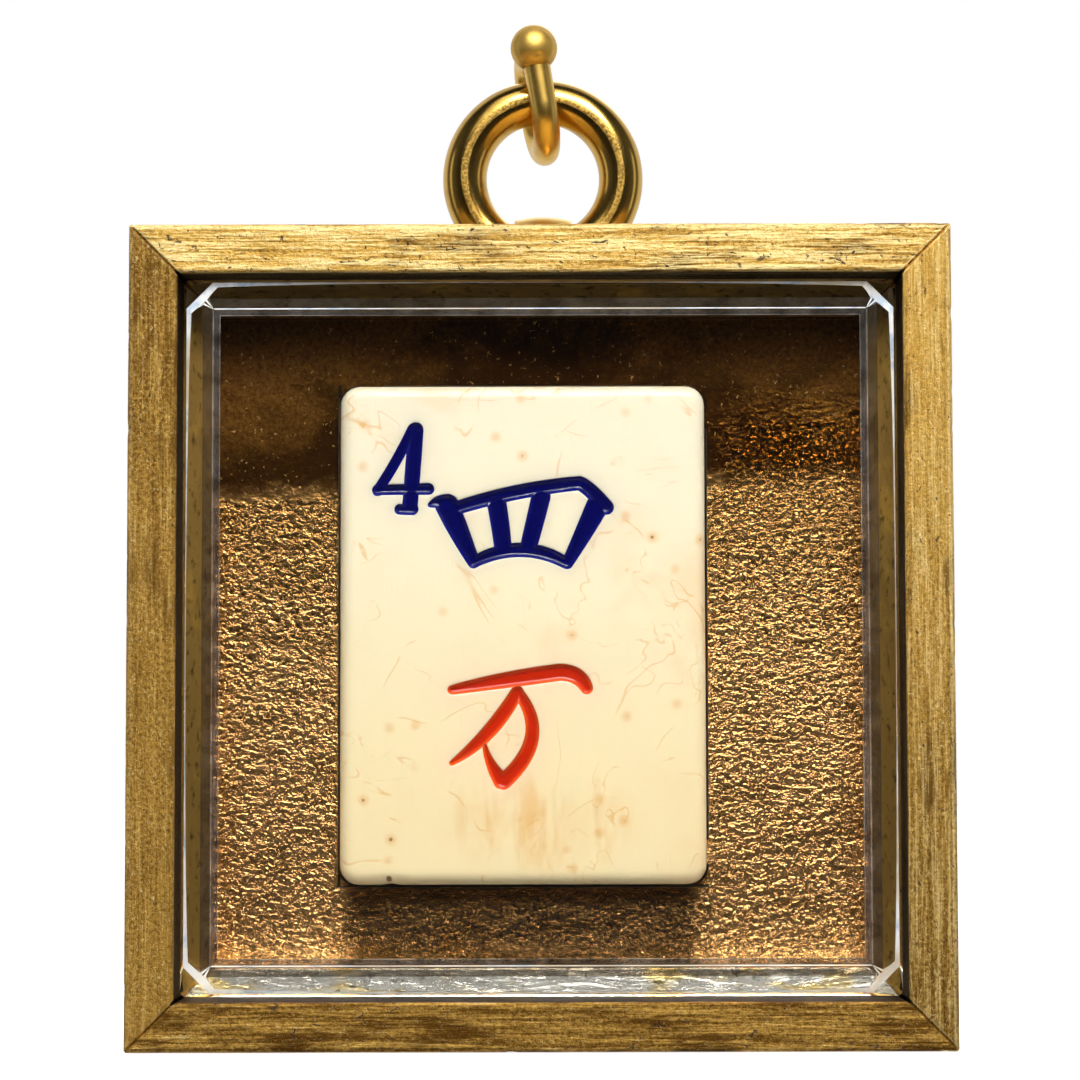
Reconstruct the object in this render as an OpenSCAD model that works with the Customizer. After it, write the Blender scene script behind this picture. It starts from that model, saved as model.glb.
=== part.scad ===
// A mahjong tile shown in a small gilt frame, behind bevelled glass, with a brass hanging ring and hook.
// Millimetres. X runs to the right, Y from the front to the back and Z up.
// The origin is the middle of the underside of the bottom rail.

/* [Frame] */
// Outer side of the square frame
frame_side = 50; // [40:0.5:70]
// Width of a rail's front face
rail_w = 3; // [2.6:0.1:5]
// Radius of the worn front edges of a rail
arris_r = 0.3; // [0.1:0.05:0.8]
// Width of the step at the back that the back board lies in
rebate_w = 1.5; // [1.2:0.1:1.8]

/* [Glass] */
// How far the glass sits below the front of the rails
glass_recess = 0.8; // [0.2:0.1:2]
// Thickness of the glass
glass_t = 4; // [2.5:0.1:6]
// Width of the ground bevel
bevel_w = 2; // [1:0.1:4]
// How far the bevel drops towards the edge of the glass
bevel_drop = 0.6; // [0.5:0.1:2]
// Radius of the corners of the glass
glass_corner_r = 0.4; // [0.1:0.1:1.5]
// Gap between the glass and the rails
glass_clear = 0.25; // [0.1:0.05:0.6]
// Width of the gilt fillets that the glass is bedded on
fillet_w = 2; // [1:0.1:3]

/* [Tile] */
// Width of the tile
tile_w = 22.5; // [18:0.5:26]
// Height of the tile
tile_h = 30.7; // [26:0.1:34]
// Thickness of the tile, bone and bamboo together
tile_t = 11; // [9:0.5:14]
// Thickness of the bone face
bone_t = 4.2; // [3:0.1:5]
// Radius of the tile's upright corners
tile_corner_r = 1.2; // [0.9:0.1:2]
// Radius of the tile's front and back edges
tile_edge_r = 0.8; // [0.2:0.1:1.2]
// Place of the tile to the right of the frame's middle
tile_x = -1.1; // [-1.5:0.1:1.5]
// Place of the tile above the frame's middle
tile_rise = 0.2; // [-1.5:0.1:1.5]
// Gap between the glass and the tile
tile_gap = 0.4; // [0.1:0.1:1]
// How far the tile stands above the leaf
tile_proud = 1.8; // [0.5:0.1:3]
// Width of the dovetail where it leaves the bone
tail_root_w = 8; // [5:0.5:10]
// Width of the dovetail at its end
tail_end_w = 10; // [7:0.5:13]
// Depth of the dovetail
tail_d = 2.4; // [1:0.1:3]
// Gap in the dovetail, filled by glue
tail_clear = 0.05; // [0.02:0.01:0.1]

/* [Marks] */
// Depth of the engraved marks
engrave_d = 0.5; // [0.2:0.05:1]
// Depth of the paint in the marks
paint_d = 0.35; // [0.1:0.05:0.5]
// Width of the numeral
numeral_w = 3.85; // [2:0.05:5]
// Height of the numeral
numeral_h = 5.8; // [3:0.05:7]
// Width of the upper mark
upper_w = 11.6; // [8:0.1:13]
// Height of the upper mark
upper_h = 5.9; // [4:0.1:8]
// Width of the lower mark
lower_w = 9.1; // [6:0.1:12]
// Height of the lower mark
lower_h = 8.05; // [6:0.05:9]

/* [Backing] */
// Thickness of the leaf and its paper
leaf_t = 0.2; // [0.1:0.05:0.4]
// Thickness of the board under the leaf
leaf_board_t = 1.5; // [1:0.1:3]
// Thickness of the glue pad behind the tile
glue_t = 0.5; // [0.2:0.1:1]
// Width of the glue pad
glue_w = 14; // [8:0.5:17]
// Height of the glue pad
glue_h = 20; // [10:0.5:25]
// Thickness of the back board
back_t = 1.5; // [1:0.1:3]
// Gap between the boards and the rails
board_clear = 0.15; // [0.05:0.05:0.3]
// Gap between the tile and the window cut for it
window_clear = 0.2; // [0.1:0.05:0.5]

/* [Nails] */
// Diameter of a back nail
nail_d = 0.6; // [0.4:0.1:0.8]
// Diameter of a back nail's head
nail_head_d = 1.2; // [0.9:0.1:1.3]
// Thickness of a back nail's head
nail_head_t = 0.25; // [0.1:0.05:0.5]
// Length of a back nail under its head
nail_len = 5; // [3:0.5:8]
// Distance of a back nail from the middle of its rail
nail_spread = 12; // [6:0.5:16]
// Length of each leg of a mitre nail
mitre_leg = 1.3; // [0.8:0.1:2]
// Thickness of a mitre nail
mitre_nail_t = 0.25; // [0.15:0.05:0.4]
// Depth of a mitre nail in the wood
mitre_nail_d = 5; // [3:0.5:8]

/* [Ring] */
// Outer diameter of the hanging ring
ring_od = 13.4; // [11:0.1:18]
// Diameter of the ring's wire
ring_wire_d = 2.95; // [2:0.05:3.4]
// Height of the wire's middle above the frame, where the strap holds the ring
ring_lift = 1.2; // [0.8:0.1:2.5]
// Place of the ring to the right of the frame's middle
ring_x = 0.2; // [-2:0.1:2]

/* [Hanger strap] */
// Width of the strap
strap_w = 3.8; // [3:0.1:5]
// Thickness of the strap
strap_t = 0.5; // [0.3:0.05:0.8]
// Gap between the ring and the strap's loop
ring_clear = 0.2; // [0.1:0.05:0.5]
// How far the strap reaches below the top of the frame
strap_drop = 6.6; // [6:0.1:7]
// Distance of the screw below the top of the frame
screw_drop = 4.6; // [4:0.1:5]
// Diameter of the screw
screw_d = 1; // [0.8:0.1:1.2]
// Gap between the screw and its hole in the strap
screw_clear = 0.1; // [0.05:0.05:0.2]
// Diameter of the screw's head
screw_head_d = 2; // [1.6:0.1:2.6]
// Thickness of the screw's head
screw_head_t = 0.6; // [0.4:0.1:1]
// Width of the slot in the screw's head
slot_w = 0.35; // [0.2:0.05:0.5]
// Depth of the slot in the screw's head
slot_d = 0.25; // [0.1:0.05:0.35]
// How far the screw goes into the wood behind the back board
screw_bite = 1.6; // [1:0.1:4]

/* [Hook] */
// Diameter of the hook's wire
hook_wire_d = 1.8; // [1.2:0.05:2]
// Diameter of the ball
ball_d = 3.1; // [2.5:0.05:3.6]
// How far the wire goes into the ball
ball_socket = 0.42; // [0.3:0.02:0.6]
// Height of the ball's middle above the middle of the ring's wire
ball_rise = 3.1; // [2.9:0.05:4.5]
// Gap between the ring and the hook's legs
hook_clear = 0.3; // [0.2:0.05:0.6]
// Gap below the ring, inside the hook's lower bend
hook_slack = 1; // [0.3:0.05:1.4]
// Radius of the bend at the back of the hook's top
hook_bend_r = 1.6; // [1.2:0.1:1.8]
// Angle round the ring, from its top to the left, where the hook lies
hook_station = 4; // [-20:1:20]
// Lean of the hook to the left of the ring's own radius
hook_lean = 5.5; // [-8:0.5:8]
// Turn of the hook about its own length
hook_yaw = 6.5; // [-8:0.5:8]

/* [Hidden] */
$fn = 64;
// Overrun of every cut past the face that it opens
overrun = 0.5;

gilt = "#C9993F";
brass = "#D8B25C";
bone = "#FBF0D2";
bamboo = "#C79A55";
blue_paint = "#1C2F7C";
red_paint = "#C6382C";
bronze_leaf = "#8F6A2C";
pale_wood = "#B89A70";
steel = "#8E8E92";

// Depths behind the front of the rails
glass_back = glass_recess + glass_t;
tile_front = glass_back + tile_gap;
leaf_front = tile_front + tile_proud;
board_front = leaf_front + leaf_t;
well_front = board_front + leaf_board_t;
tail_front = tile_front + bone_t;
tile_rear = tile_front + tile_t;
back_front = tile_rear + glue_t;
frame_d = back_front + back_t;

front_y = -frame_d / 2;
back_y = frame_d / 2;
middle_z = frame_side / 2;
opening = frame_side - 2 * rail_w;
glass_side = opening - 2 * glass_clear;
tile_z = middle_z + tile_rise;

// Ring, strap loop and hook
ring_wire_r = ring_wire_d / 2;
ring_r = ring_od / 2 - ring_wire_r;
ring_z = frame_side + ring_lift + ring_r;
strap_edge_angle = asin(strap_w / 2 / ring_r);
wire_top_at_edge = ring_r * (1 - cos(strap_edge_angle)) + ring_wire_r / cos(strap_edge_angle);
loop_rise = (wire_top_at_edge - ring_wire_r) / 2;
loop_r = (wire_top_at_edge + ring_wire_r) / 2 + ring_clear;
loop_outer_r = loop_r + strap_t;
loop_z = frame_side + ring_lift + loop_rise;
ring_y = back_y + loop_outer_r;
screw_z = frame_side - screw_drop;
hook_wire_r = hook_wire_d / 2;
ball_seat = ball_d / 2 - ball_socket;
hook_half = ring_wire_r + hook_clear + hook_wire_r;
hook_bend_z = hook_half - hook_wire_r - hook_slack - ring_wire_r;

// A back nail lies in the middle of the rebate's step
nail_w = rail_w - rebate_w / 2;
// A mitre nail lies in the middle of the rail's back face
mitre_nail_w = (rail_w - rebate_w) / 2;

// Marks, as strokes: start, bend and end in shares of the mark's width and height,
// then the stroke's width at those three places in shares of the mark's height.
numeral_stroke_shares = [
  [[0.68, 0.925], [0.44, 0.59], [0.12, 0.265], [0.115, 0.115, 0.115]],
  [[0.73, 0.915], [0.685, 0.5], [0.635, 0.09], [0.165, 0.17, 0.165]],
  [[0.115, 0.275], [0.5, 0.28], [0.93, 0.285], [0.115, 0.115, 0.13]],
  [[0.47, 0.068], [0.58, 0.066], [0.68, 0.068], [0.115, 0.12, 0.125]]
];
upper_stroke_shares = [
  [[0.02, 0.695], [0.06, 0.735], [0.105, 0.72], [0.055, 0.14, 0.17]],
  [[0.11, 0.685], [0.165, 0.44], [0.25, 0.095], [0.25, 0.235, 0.135]],
  [[0.15, 0.655], [0.47, 0.86], [0.815, 0.92], [0.145, 0.165, 0.15]],
  [[0.815, 0.92], [0.865, 0.87], [0.957, 0.665], [0.15, 0.165, 0.155]],
  [[0.905, 0.675], [0.86, 0.49], [0.747, 0.08], [0.235, 0.215, 0.125]],
  [[0.37, 0.74], [0.392, 0.495], [0.405, 0.26], [0.205, 0.198, 0.185]],
  [[0.608, 0.775], [0.576, 0.52], [0.544, 0.275], [0.2, 0.195, 0.18]],
  [[0.25, 0.096], [0.507, 0.355], [0.744, 0.08], [0.125, 0.18, 0.125]]
];
lower_stroke_shares = [
  [[0.045, 0.785], [0.365, 0.857], [0.776, 0.918], [0.073, 0.137, 0.132]],
  [[0.776, 0.918], [0.91, 0.915], [0.955, 0.797], [0.132, 0.135, 0.098]],
  [[0.484, 0.767], [0.311, 0.423], [0.042, 0.229], [0.1, 0.148, 0.042]],
  [[0.486, 0.77], [0.73, 0.425], [0.392, 0.087], [0.085, 0.11, 0.125]],
  [[0.262, 0.376], [0.284, 0.23], [0.377, 0.092], [0.03, 0.07, 0.125]]
];
// Lower left corner of each mark from the tile's middle, in shares of the tile's width and height
numeral_place_shares = [-0.417, 0.237];
upper_place_shares = [-0.263, 0.125];
lower_place_shares = [-0.211, -0.318];
// Steps along a curved stroke, and steps round each of its ends
stroke_steps = 8;
end_steps = 4;

// Draws a flat outline, given in X and Z, from one depth behind the front to another
module slab(from_d, to_d) {
  translate([0, front_y + to_d, 0])
    rotate([90, 0, 0])
      linear_extrude(to_d - from_d)
        children();
}

// A round bar along Y
module bar_y(from_y, to_y, d) {
  translate([0, to_y, 0])
    rotate([90, 0, 0])
      cylinder(d = d, h = to_y - from_y);
}

// Turns what lies at the bottom rail to the left, the top and the right
module turned(quarters) {
  translate([0, 0, middle_z])
    rotate([0, 90 * quarters, 0])
      translate([0, 0, -middle_z])
        children();
}

module rounded_square(w, h, r) {
  square([w - 2 * r, h], center = true);
  square([w, h - 2 * r], center = true);
  for (x = [-1, 1], y = [-1, 1])
    translate([x * (w / 2 - r), y * (h / 2 - r)])
      circle(r);
}

// A bar's section with its two front corners rounded
module rounded_front(w, t, r) {
  translate([-w / 2 + r, 0])
    square([w - 2 * r, t]);
  translate([-w / 2, r])
    square([w, t - r]);
  for (x = [-1, 1])
    translate([x * (w / 2 - r), r])
      circle(r);
}

// A plate of the tile's outline whose front edges are rounded
module tile_block(t) {
  intersection() {
    rotate([90, 0, 0])
      mirror([0, 0, 1])
        linear_extrude(t)
          rounded_square(tile_w, tile_h, tile_corner_r);
    linear_extrude(tile_h, center = true)
      rounded_front(tile_w, t, tile_edge_r);
    rotate([0, -90, 0])
      linear_extrude(tile_w, center = true)
        rounded_front(tile_h, t, tile_edge_r);
  }
}

// The dovetail, from its root at y = 0
module dovetail(root_w, end_w, d) {
  linear_extrude(tile_h, center = true)
    polygon([[-root_w / 2, 0], [root_w / 2, 0], [end_w / 2, d], [-end_w / 2, d]]);
}

module at_tile(depth) {
  translate([tile_x, front_y + depth, tile_z])
    children();
}

module tile_window() {
  translate([tile_x, tile_z])
    square([tile_w + 2 * window_clear, tile_h + 2 * window_clear], center = true);
}

function along(a, b, c, t) = a * (1 - t) * (1 - t) + b * 2 * t * (1 - t) + c * t * t;
function slope(a, b, c, t) = (b - a) * 2 * (1 - t) + (c - b) * 2 * t;
function left_of(v) = [-v[1], v[0]] / norm(v);
function turned_by(v, angle) =
  [v[0] * cos(angle) - v[1] * sin(angle), v[0] * sin(angle) + v[1] * cos(angle)];

// A brush stroke along a curve, with a changing width and round ends
module stroke(s, w, h) {
  p = [for (i = [0:2]) [s[i][0] * w, s[i][1] * h]];
  d = s[3] * h;
  ts = [for (i = [0:stroke_steps]) i / stroke_steps];
  function edge(t, side) =
    along(p[0], p[1], p[2], t) + side * left_of(slope(p[0], p[1], p[2], t)) * along(d[0], d[1], d[2], t) / 2;
  function round_end(t, from_angle) =
    [for (i = [1:end_steps - 1])
      along(p[0], p[1], p[2], t)
      + turned_by(left_of(slope(p[0], p[1], p[2], t)), from_angle - 180 * i / end_steps)
      * along(d[0], d[1], d[2], t) / 2];
  polygon(concat(
    [for (t = ts) edge(t, 1)],
    round_end(1, 0),
    [for (i = [stroke_steps:-1:0]) edge(ts[i], -1)],
    round_end(0, 180)
  ));
}

// All strokes of one mark, placed on the tile
module mark(strokes, place, w, h) {
  translate([tile_x + place[0] * tile_w, tile_z + place[1] * tile_h])
    for (s = strokes)
      stroke(s, w, h);
}

module numeral_mark() {
  mark(numeral_stroke_shares, numeral_place_shares, numeral_w, numeral_h);
}

module upper_mark() {
  mark(upper_stroke_shares, upper_place_shares, upper_w, upper_h);
}

module lower_mark() {
  mark(lower_stroke_shares, lower_place_shares, lower_w, lower_h);
}

module paint() {
  slab(tile_front + engrave_d - paint_d, tile_front + engrave_d)
    children();
}

// One bent nail across the back of the bottom left mitre
module mitre_nail() {
  leg = mitre_nail_t + mitre_leg;
  slab(frame_d - mitre_nail_d, frame_d)
    translate([mitre_nail_w - frame_side / 2 - mitre_nail_t / 2, mitre_nail_w - mitre_nail_t / 2]) {
      square([leg, mitre_nail_t]);
      square([mitre_nail_t, leg]);
    }
}

module at_nails() {
  for (side = [-1, 1])
    translate([side * nail_spread, 0, nail_w])
      children();
}

module rail_section() {
  difference() {
    translate([rail_w / 2, 0])
      rounded_front(rail_w, frame_d, arris_r);
    translate([rail_w - rebate_w, back_front])
      square([rebate_w + overrun, back_t + overrun]);
  }
}

// The bottom rail, and by turning it every other one
module rail() {
  difference() {
    intersection() {
      translate([0, front_y, 0])
        rotate([0, -90, 0])
          linear_extrude(frame_side, center = true)
            rail_section();
      slab(0, frame_d)
        polygon([[-frame_side / 2, 0], [frame_side / 2, 0], [0, middle_z]]);
    }
    mitre_nail();
    turned(3)
      mitre_nail();
    at_nails()
      bar_y(back_y - nail_len, back_y, nail_d);
  }
}

module fillet() {
  outer = opening / 2;
  inner = outer - fillet_w;
  slab(glass_back, leaf_front)
    polygon([[-outer, rail_w], [outer, rail_w], [inner, rail_w + fillet_w], [-inner, rail_w + fillet_w]]);
}

module bottom_rail() { color(gilt) rail(); }
module left_rail() { color(gilt) turned(1) rail(); }
module top_rail() { color(gilt) turned(2) rail(); }
module right_rail() { color(gilt) turned(3) rail(); }

module bottom_fillet() { color(gilt) fillet(); }
module left_fillet() { color(gilt) turned(1) fillet(); }
module top_fillet() { color(gilt) turned(2) fillet(); }
module right_fillet() { color(gilt) turned(3) fillet(); }

module mitre_nails() {
  color(steel)
    for (k = [0:3])
      turned(k)
        mitre_nail();
}

// The pane's section, bevelled at both sides
module glass_prism() {
  edge = glass_side / 2;
  crest = edge - bevel_w;
  edge_front = glass_recess + bevel_drop;
  translate([0, front_y, middle_z])
    linear_extrude(glass_side, center = true)
      polygon([
        [-edge, edge_front], [-crest, glass_recess], [crest, glass_recess],
        [edge, edge_front], [edge, glass_back], [-edge, glass_back]
      ]);
}

module bevelled_glass() {
  color([0.86, 0.92, 0.90, 0.4])
    intersection() {
      glass_prism();
      turned(1)
        glass_prism();
      slab(0, frame_d)
        translate([0, middle_z])
          rounded_square(glass_side, glass_side, glass_corner_r);
    }
}

// A square sheet that fills the frame, with a window for the tile
module windowed_sheet(from_d, to_d) {
  side = opening - 2 * board_clear;
  slab(from_d, to_d)
    difference() {
      translate([0, middle_z])
        square(side, center = true);
      tile_window();
    }
}

module leaf_sheet() { color(bronze_leaf) windowed_sheet(leaf_front, board_front); }
module leaf_board() { color(pale_wood) windowed_sheet(board_front, well_front); }

module well_block() {
  color(pale_wood)
    difference() {
      windowed_sheet(well_front, back_front);
      at_screw()
        screw_shank();
    }
}

module tile_face() {
  color(bone)
    difference() {
      union() {
        at_tile(tile_front)
          tile_block(bone_t);
        at_tile(tail_front)
          dovetail(tail_root_w, tail_end_w, tail_d);
      }
      slab(tile_front - overrun, tile_front + engrave_d) {
        numeral_mark();
        upper_mark();
        lower_mark();
      }
    }
}

module tile_back() {
  color(bamboo)
    difference() {
      at_tile(tile_rear)
        mirror([0, 1, 0])
          tile_block(tile_t - bone_t);
      at_tile(tail_front)
        dovetail(tail_root_w + 2 * tail_clear, tail_end_w + 2 * tail_clear, tail_d + tail_clear);
    }
}

module numeral_paint() { color(blue_paint) paint() numeral_mark(); }
module upper_mark_paint() { color(blue_paint) paint() upper_mark(); }
module lower_mark_paint() { color(red_paint) paint() lower_mark(); }

module glue_pad() {
  color("ivory")
    slab(tile_rear, back_front)
      translate([tile_x, tile_z])
        square([glue_w, glue_h], center = true);
}

module back_board() {
  side = frame_side - 2 * (rail_w - rebate_w) - 2 * board_clear;
  color(pale_wood)
    difference() {
      slab(back_front, frame_d)
        translate([0, middle_z])
          square(side, center = true);
      for (k = [0:3])
        turned(k)
          at_nails()
            bar_y(back_y - nail_len, back_y + overrun, nail_d);
      at_screw()
        screw_shank();
    }
}

module back_nails() {
  color(steel)
    for (k = [0:3])
      turned(k)
        at_nails() {
          bar_y(back_y - nail_len, back_y, nail_d);
          bar_y(back_y, back_y + nail_head_t, nail_head_d);
        }
}

module at_screw() {
  translate([ring_x, back_y + 2 * strap_t, screw_z])
    children();
}

module screw_shank() {
  bar_y(-2 * strap_t - back_t - screw_bite, 0, screw_d);
}

// A strap folded round the ring, its two ends lying one on the other
module hanger_strap() {
  tail_top = loop_z - loop_r;
  tail_end = frame_side - strap_drop;
  color(brass)
    difference() {
      translate([ring_x, 0, 0]) {
        translate([0, ring_y, loop_z])
          rotate([0, 90, 0])
            cylinder(r = loop_outer_r, h = strap_w, center = true);
        translate([-strap_w / 2, back_y, tail_end])
          cube([strap_w, 2 * strap_t, tail_top - tail_end]);
        translate([-strap_w / 2, back_y, tail_end])
          cube([strap_w, strap_t, loop_z - tail_end]);
      }
      translate([ring_x, ring_y, loop_z])
        rotate([0, 90, 0])
          cylinder(r = loop_r, h = strap_w + 2 * overrun, center = true);
      at_screw()
        bar_y(-2 * strap_t - overrun, overrun, screw_d + 2 * screw_clear);
    }
}

module strap_screw() {
  color(brass)
    at_screw() {
      screw_shank();
      difference() {
        bar_y(0, screw_head_t, screw_head_d);
        translate([-screw_head_d, screw_head_t - slot_d, -slot_w / 2])
          cube([2 * screw_head_d, slot_d + overrun, slot_w]);
      }
    }
}

module hanging_ring() {
  color(brass)
    translate([ring_x, ring_y, ring_z])
      rotate([90, 0, 0])
        rotate_extrude()
          translate([ring_r, 0])
            circle(ring_wire_r);
}

// The hook's own frame: its origin is the middle of the ring's wire, its length runs up
module at_hook() {
  translate([ring_x, ring_y, ring_z])
    rotate([0, -hook_station, 0])
      translate([0, 0, ring_r])
        rotate([0, -hook_lean, 0])
          rotate([0, 0, hook_yaw])
            children();
}

module hook_wire() {
  rear_top = ball_rise - hook_bend_r;
  color(brass)
    at_hook() {
      translate([0, 0, hook_bend_z])
        rotate([-90, 0, 90])
          rotate_extrude(angle = 180)
            translate([hook_half, 0])
              circle(hook_wire_r);
      translate([0, -hook_half, hook_bend_z])
        cylinder(r = hook_wire_r, h = ball_rise - ball_seat - hook_bend_z);
      translate([0, hook_half, hook_bend_z])
        cylinder(r = hook_wire_r, h = rear_top - hook_bend_z);
      translate([0, hook_half - hook_bend_r, rear_top])
        rotate([90, 0, 90])
          rotate_extrude(angle = 90)
            translate([hook_bend_r, 0])
              circle(hook_wire_r);
      translate([0, 0, ball_rise])
        bar_y(ball_seat - hook_half, hook_half - hook_bend_r, hook_wire_d);
    }
}

module hook_ball() {
  color(brass)
    at_hook()
      translate([0, -hook_half, ball_rise])
        difference() {
          sphere(d = ball_d);
          translate([0, 0, -ball_d])
            cylinder(r = hook_wire_r, h = ball_d - ball_seat);
          bar_y(ball_seat, ball_d, hook_wire_d);
        }
}

bottom_rail();
left_rail();
top_rail();
right_rail();
bottom_fillet();
left_fillet();
top_fillet();
right_fillet();
mitre_nails();
bevelled_glass();
leaf_sheet();
leaf_board();
well_block();
tile_face();
tile_back();
numeral_paint();
upper_mark_paint();
lower_mark_paint();
glue_pad();
back_board();
back_nails();
hanger_strap();
strap_screw();
hanging_ring();
hook_wire();
hook_ball();
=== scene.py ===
import math

import bmesh
import bpy
import numpy as np
from bpy.props import FloatProperty, FloatVectorProperty, IntProperty, PointerProperty
from bpy.types import Operator, Panel, PropertyGroup
from mathutils import Euler, Matrix, Vector, noise
from mathutils.geometry import delaunay_2d_cdt


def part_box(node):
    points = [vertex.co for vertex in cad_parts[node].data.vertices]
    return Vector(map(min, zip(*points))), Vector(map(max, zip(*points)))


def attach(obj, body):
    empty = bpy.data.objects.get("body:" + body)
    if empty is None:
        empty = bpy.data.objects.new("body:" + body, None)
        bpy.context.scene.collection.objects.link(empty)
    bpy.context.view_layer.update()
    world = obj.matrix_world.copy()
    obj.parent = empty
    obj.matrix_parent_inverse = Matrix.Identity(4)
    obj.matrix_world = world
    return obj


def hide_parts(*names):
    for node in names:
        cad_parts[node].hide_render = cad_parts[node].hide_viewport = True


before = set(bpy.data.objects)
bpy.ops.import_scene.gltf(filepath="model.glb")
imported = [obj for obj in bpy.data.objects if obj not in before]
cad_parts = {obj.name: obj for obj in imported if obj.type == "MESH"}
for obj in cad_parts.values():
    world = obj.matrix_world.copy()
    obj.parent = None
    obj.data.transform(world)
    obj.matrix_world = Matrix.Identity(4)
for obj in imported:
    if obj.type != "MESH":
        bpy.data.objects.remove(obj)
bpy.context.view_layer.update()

bl_info = {
    "name": "Framed mahjong tile",
    "version": (1, 0, 0),
    "blender": (4, 5, 0),
    "location": "View3D > Sidebar > Framed Tile",
    "description": "Dresses a framed mahjong tile: gilt rails, bevelled glass, leaf, tile, ring and hook",
    "category": "Object",
}

MM = 0.001
TAU = 2 * math.pi
RAIL_NAMES = ("bottom", "left", "top", "right")
GLASS_IOR = 1.5

# Linear colours of the paint that bled into the bone, with painted shade round the blue marks, and of the
# stroke of painted reflection in the glass.
RED_BLEED = (0.93, 0.52, 0.38)
BLUE_BLEED_AND_SHADE = (0.50, 0.46, 0.40)
MILKY = (0.90, 0.90, 0.88)
PALE_BLUE = (0.46, 0.56, 0.68)
CREAM = (0.62, 0.50, 0.33)

# Marks on the tile, as strokes: start, bend and end in shares of the mark's width and height,
# then the stroke's width at those three places in shares of the mark's height.
NUMERAL_STROKES = [
    [(0.68, 0.925), (0.44, 0.59), (0.12, 0.265), (0.115, 0.115, 0.115)],
    [(0.73, 0.915), (0.685, 0.5), (0.635, 0.09), (0.165, 0.17, 0.165)],
    [(0.115, 0.275), (0.5, 0.28), (0.93, 0.285), (0.115, 0.115, 0.13)],
    [(0.47, 0.068), (0.58, 0.066), (0.68, 0.068), (0.115, 0.12, 0.125)],
]
UPPER_STROKES = [
    [(0.02, 0.695), (0.06, 0.735), (0.105, 0.72), (0.055, 0.14, 0.17)],
    [(0.11, 0.685), (0.165, 0.44), (0.25, 0.095), (0.25, 0.235, 0.135)],
    [(0.15, 0.655), (0.47, 0.86), (0.815, 0.92), (0.145, 0.165, 0.15)],
    [(0.815, 0.92), (0.865, 0.87), (0.957, 0.665), (0.15, 0.165, 0.155)],
    [(0.905, 0.675), (0.86, 0.49), (0.747, 0.08), (0.235, 0.215, 0.125)],
    [(0.37, 0.74), (0.392, 0.495), (0.405, 0.26), (0.205, 0.198, 0.185)],
    [(0.608, 0.775), (0.576, 0.52), (0.544, 0.275), (0.2, 0.195, 0.18)],
    [(0.25, 0.096), (0.507, 0.355), (0.744, 0.08), (0.125, 0.18, 0.125)],
]
LOWER_STROKES = [
    [(0.045, 0.785), (0.365, 0.857), (0.776, 0.918), (0.073, 0.137, 0.132)],
    [(0.776, 0.918), (0.91, 0.915), (0.955, 0.797), (0.132, 0.135, 0.098)],
    [(0.484, 0.767), (0.311, 0.423), (0.042, 0.229), (0.1, 0.148, 0.042)],
    [(0.486, 0.77), (0.73, 0.425), (0.392, 0.087), (0.085, 0.11, 0.125)],
    [(0.262, 0.376), (0.284, 0.23), (0.377, 0.092), (0.03, 0.07, 0.125)],
]


def linear(code):
    """A hex colour as linear red, green and blue."""
    parts = [int(code[i:i + 2], 16) / 255 for i in (1, 3, 5)]
    return tuple(p / 12.92 if p <= 0.04045 else ((p + 0.055) / 1.055) ** 2.4 for p in parts)


def length(name, description, mm):
    return FloatProperty(name=name, description=description, default=mm * MM, unit="LENGTH", precision=5)


def share(name, description, value):
    return FloatProperty(name=name, description=description, default=value, min=0, subtype="FACTOR")


def colour(name, description, code):
    return FloatVectorProperty(
        name=name, description=description, default=linear(code), size=3, min=0, max=1, subtype="COLOR"
    )


def degrees(name, description, value):
    return FloatProperty(name=name, description=description, default=math.radians(value), subtype="ANGLE")


def number(name, description, value):
    return FloatProperty(name=name, description=description, default=value)


def position(name, description, metres):
    return FloatVectorProperty(
        name=name, description=description, default=metres, size=3, unit="LENGTH", subtype="TRANSLATION"
    )


class RailSettings(PropertyGroup):
    """Sizes and colours of the gilt rails and fillets."""

    arris: length("Arris", "Radius of the worn outer front edge of a rail", 0.3)
    inner_arris: length("Inner arris", "Radius of a rail's edge beside the glass", 0.2)
    rebate: length("Rebate", "Width of the step at the back that the back board lies in", 1.5)
    fillet_arris: length("Fillet arris", "Radius of the fillets' front edges", 0.12)
    grain_depth: length("Grain depth", "Depth of the wood grain under the gilding", 0.022)
    nick_depth: length("Nick depth", "Depth of the nicks along the edges", 0.16)
    mitre_depth: length("Mitre depth", "Depth of the groove along each mitre", 0.13)
    mitre_width: length("Mitre width", "Width of the groove along each mitre", 0.08)
    gold: colour("Gold", "Sound gilding", "#DDAE52")
    pale_gold: colour("Pale gold", "Rubbed bright gilding", "#F6DC97")
    # Painted light: the lit copy of the fillets' gilding, pale silver, for the bottom fillet that faces the
    # light from above.
    painted_lit_silver: colour("Silver", "Silvered lower fillet", "#E6E1D6")
    amber_gold: colour("Amber gold", "Lacquered gilding of the fillets", "#C2984E")
    old_gold: colour("Old gold", "Toned gilding", "#6F4914")
    # Also painted as shade on the rails' inside faces beside the glass.
    bole_and_shade: colour("Bole", "Dark ground that shows where the gilding is lost", "#2A1708")


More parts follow.
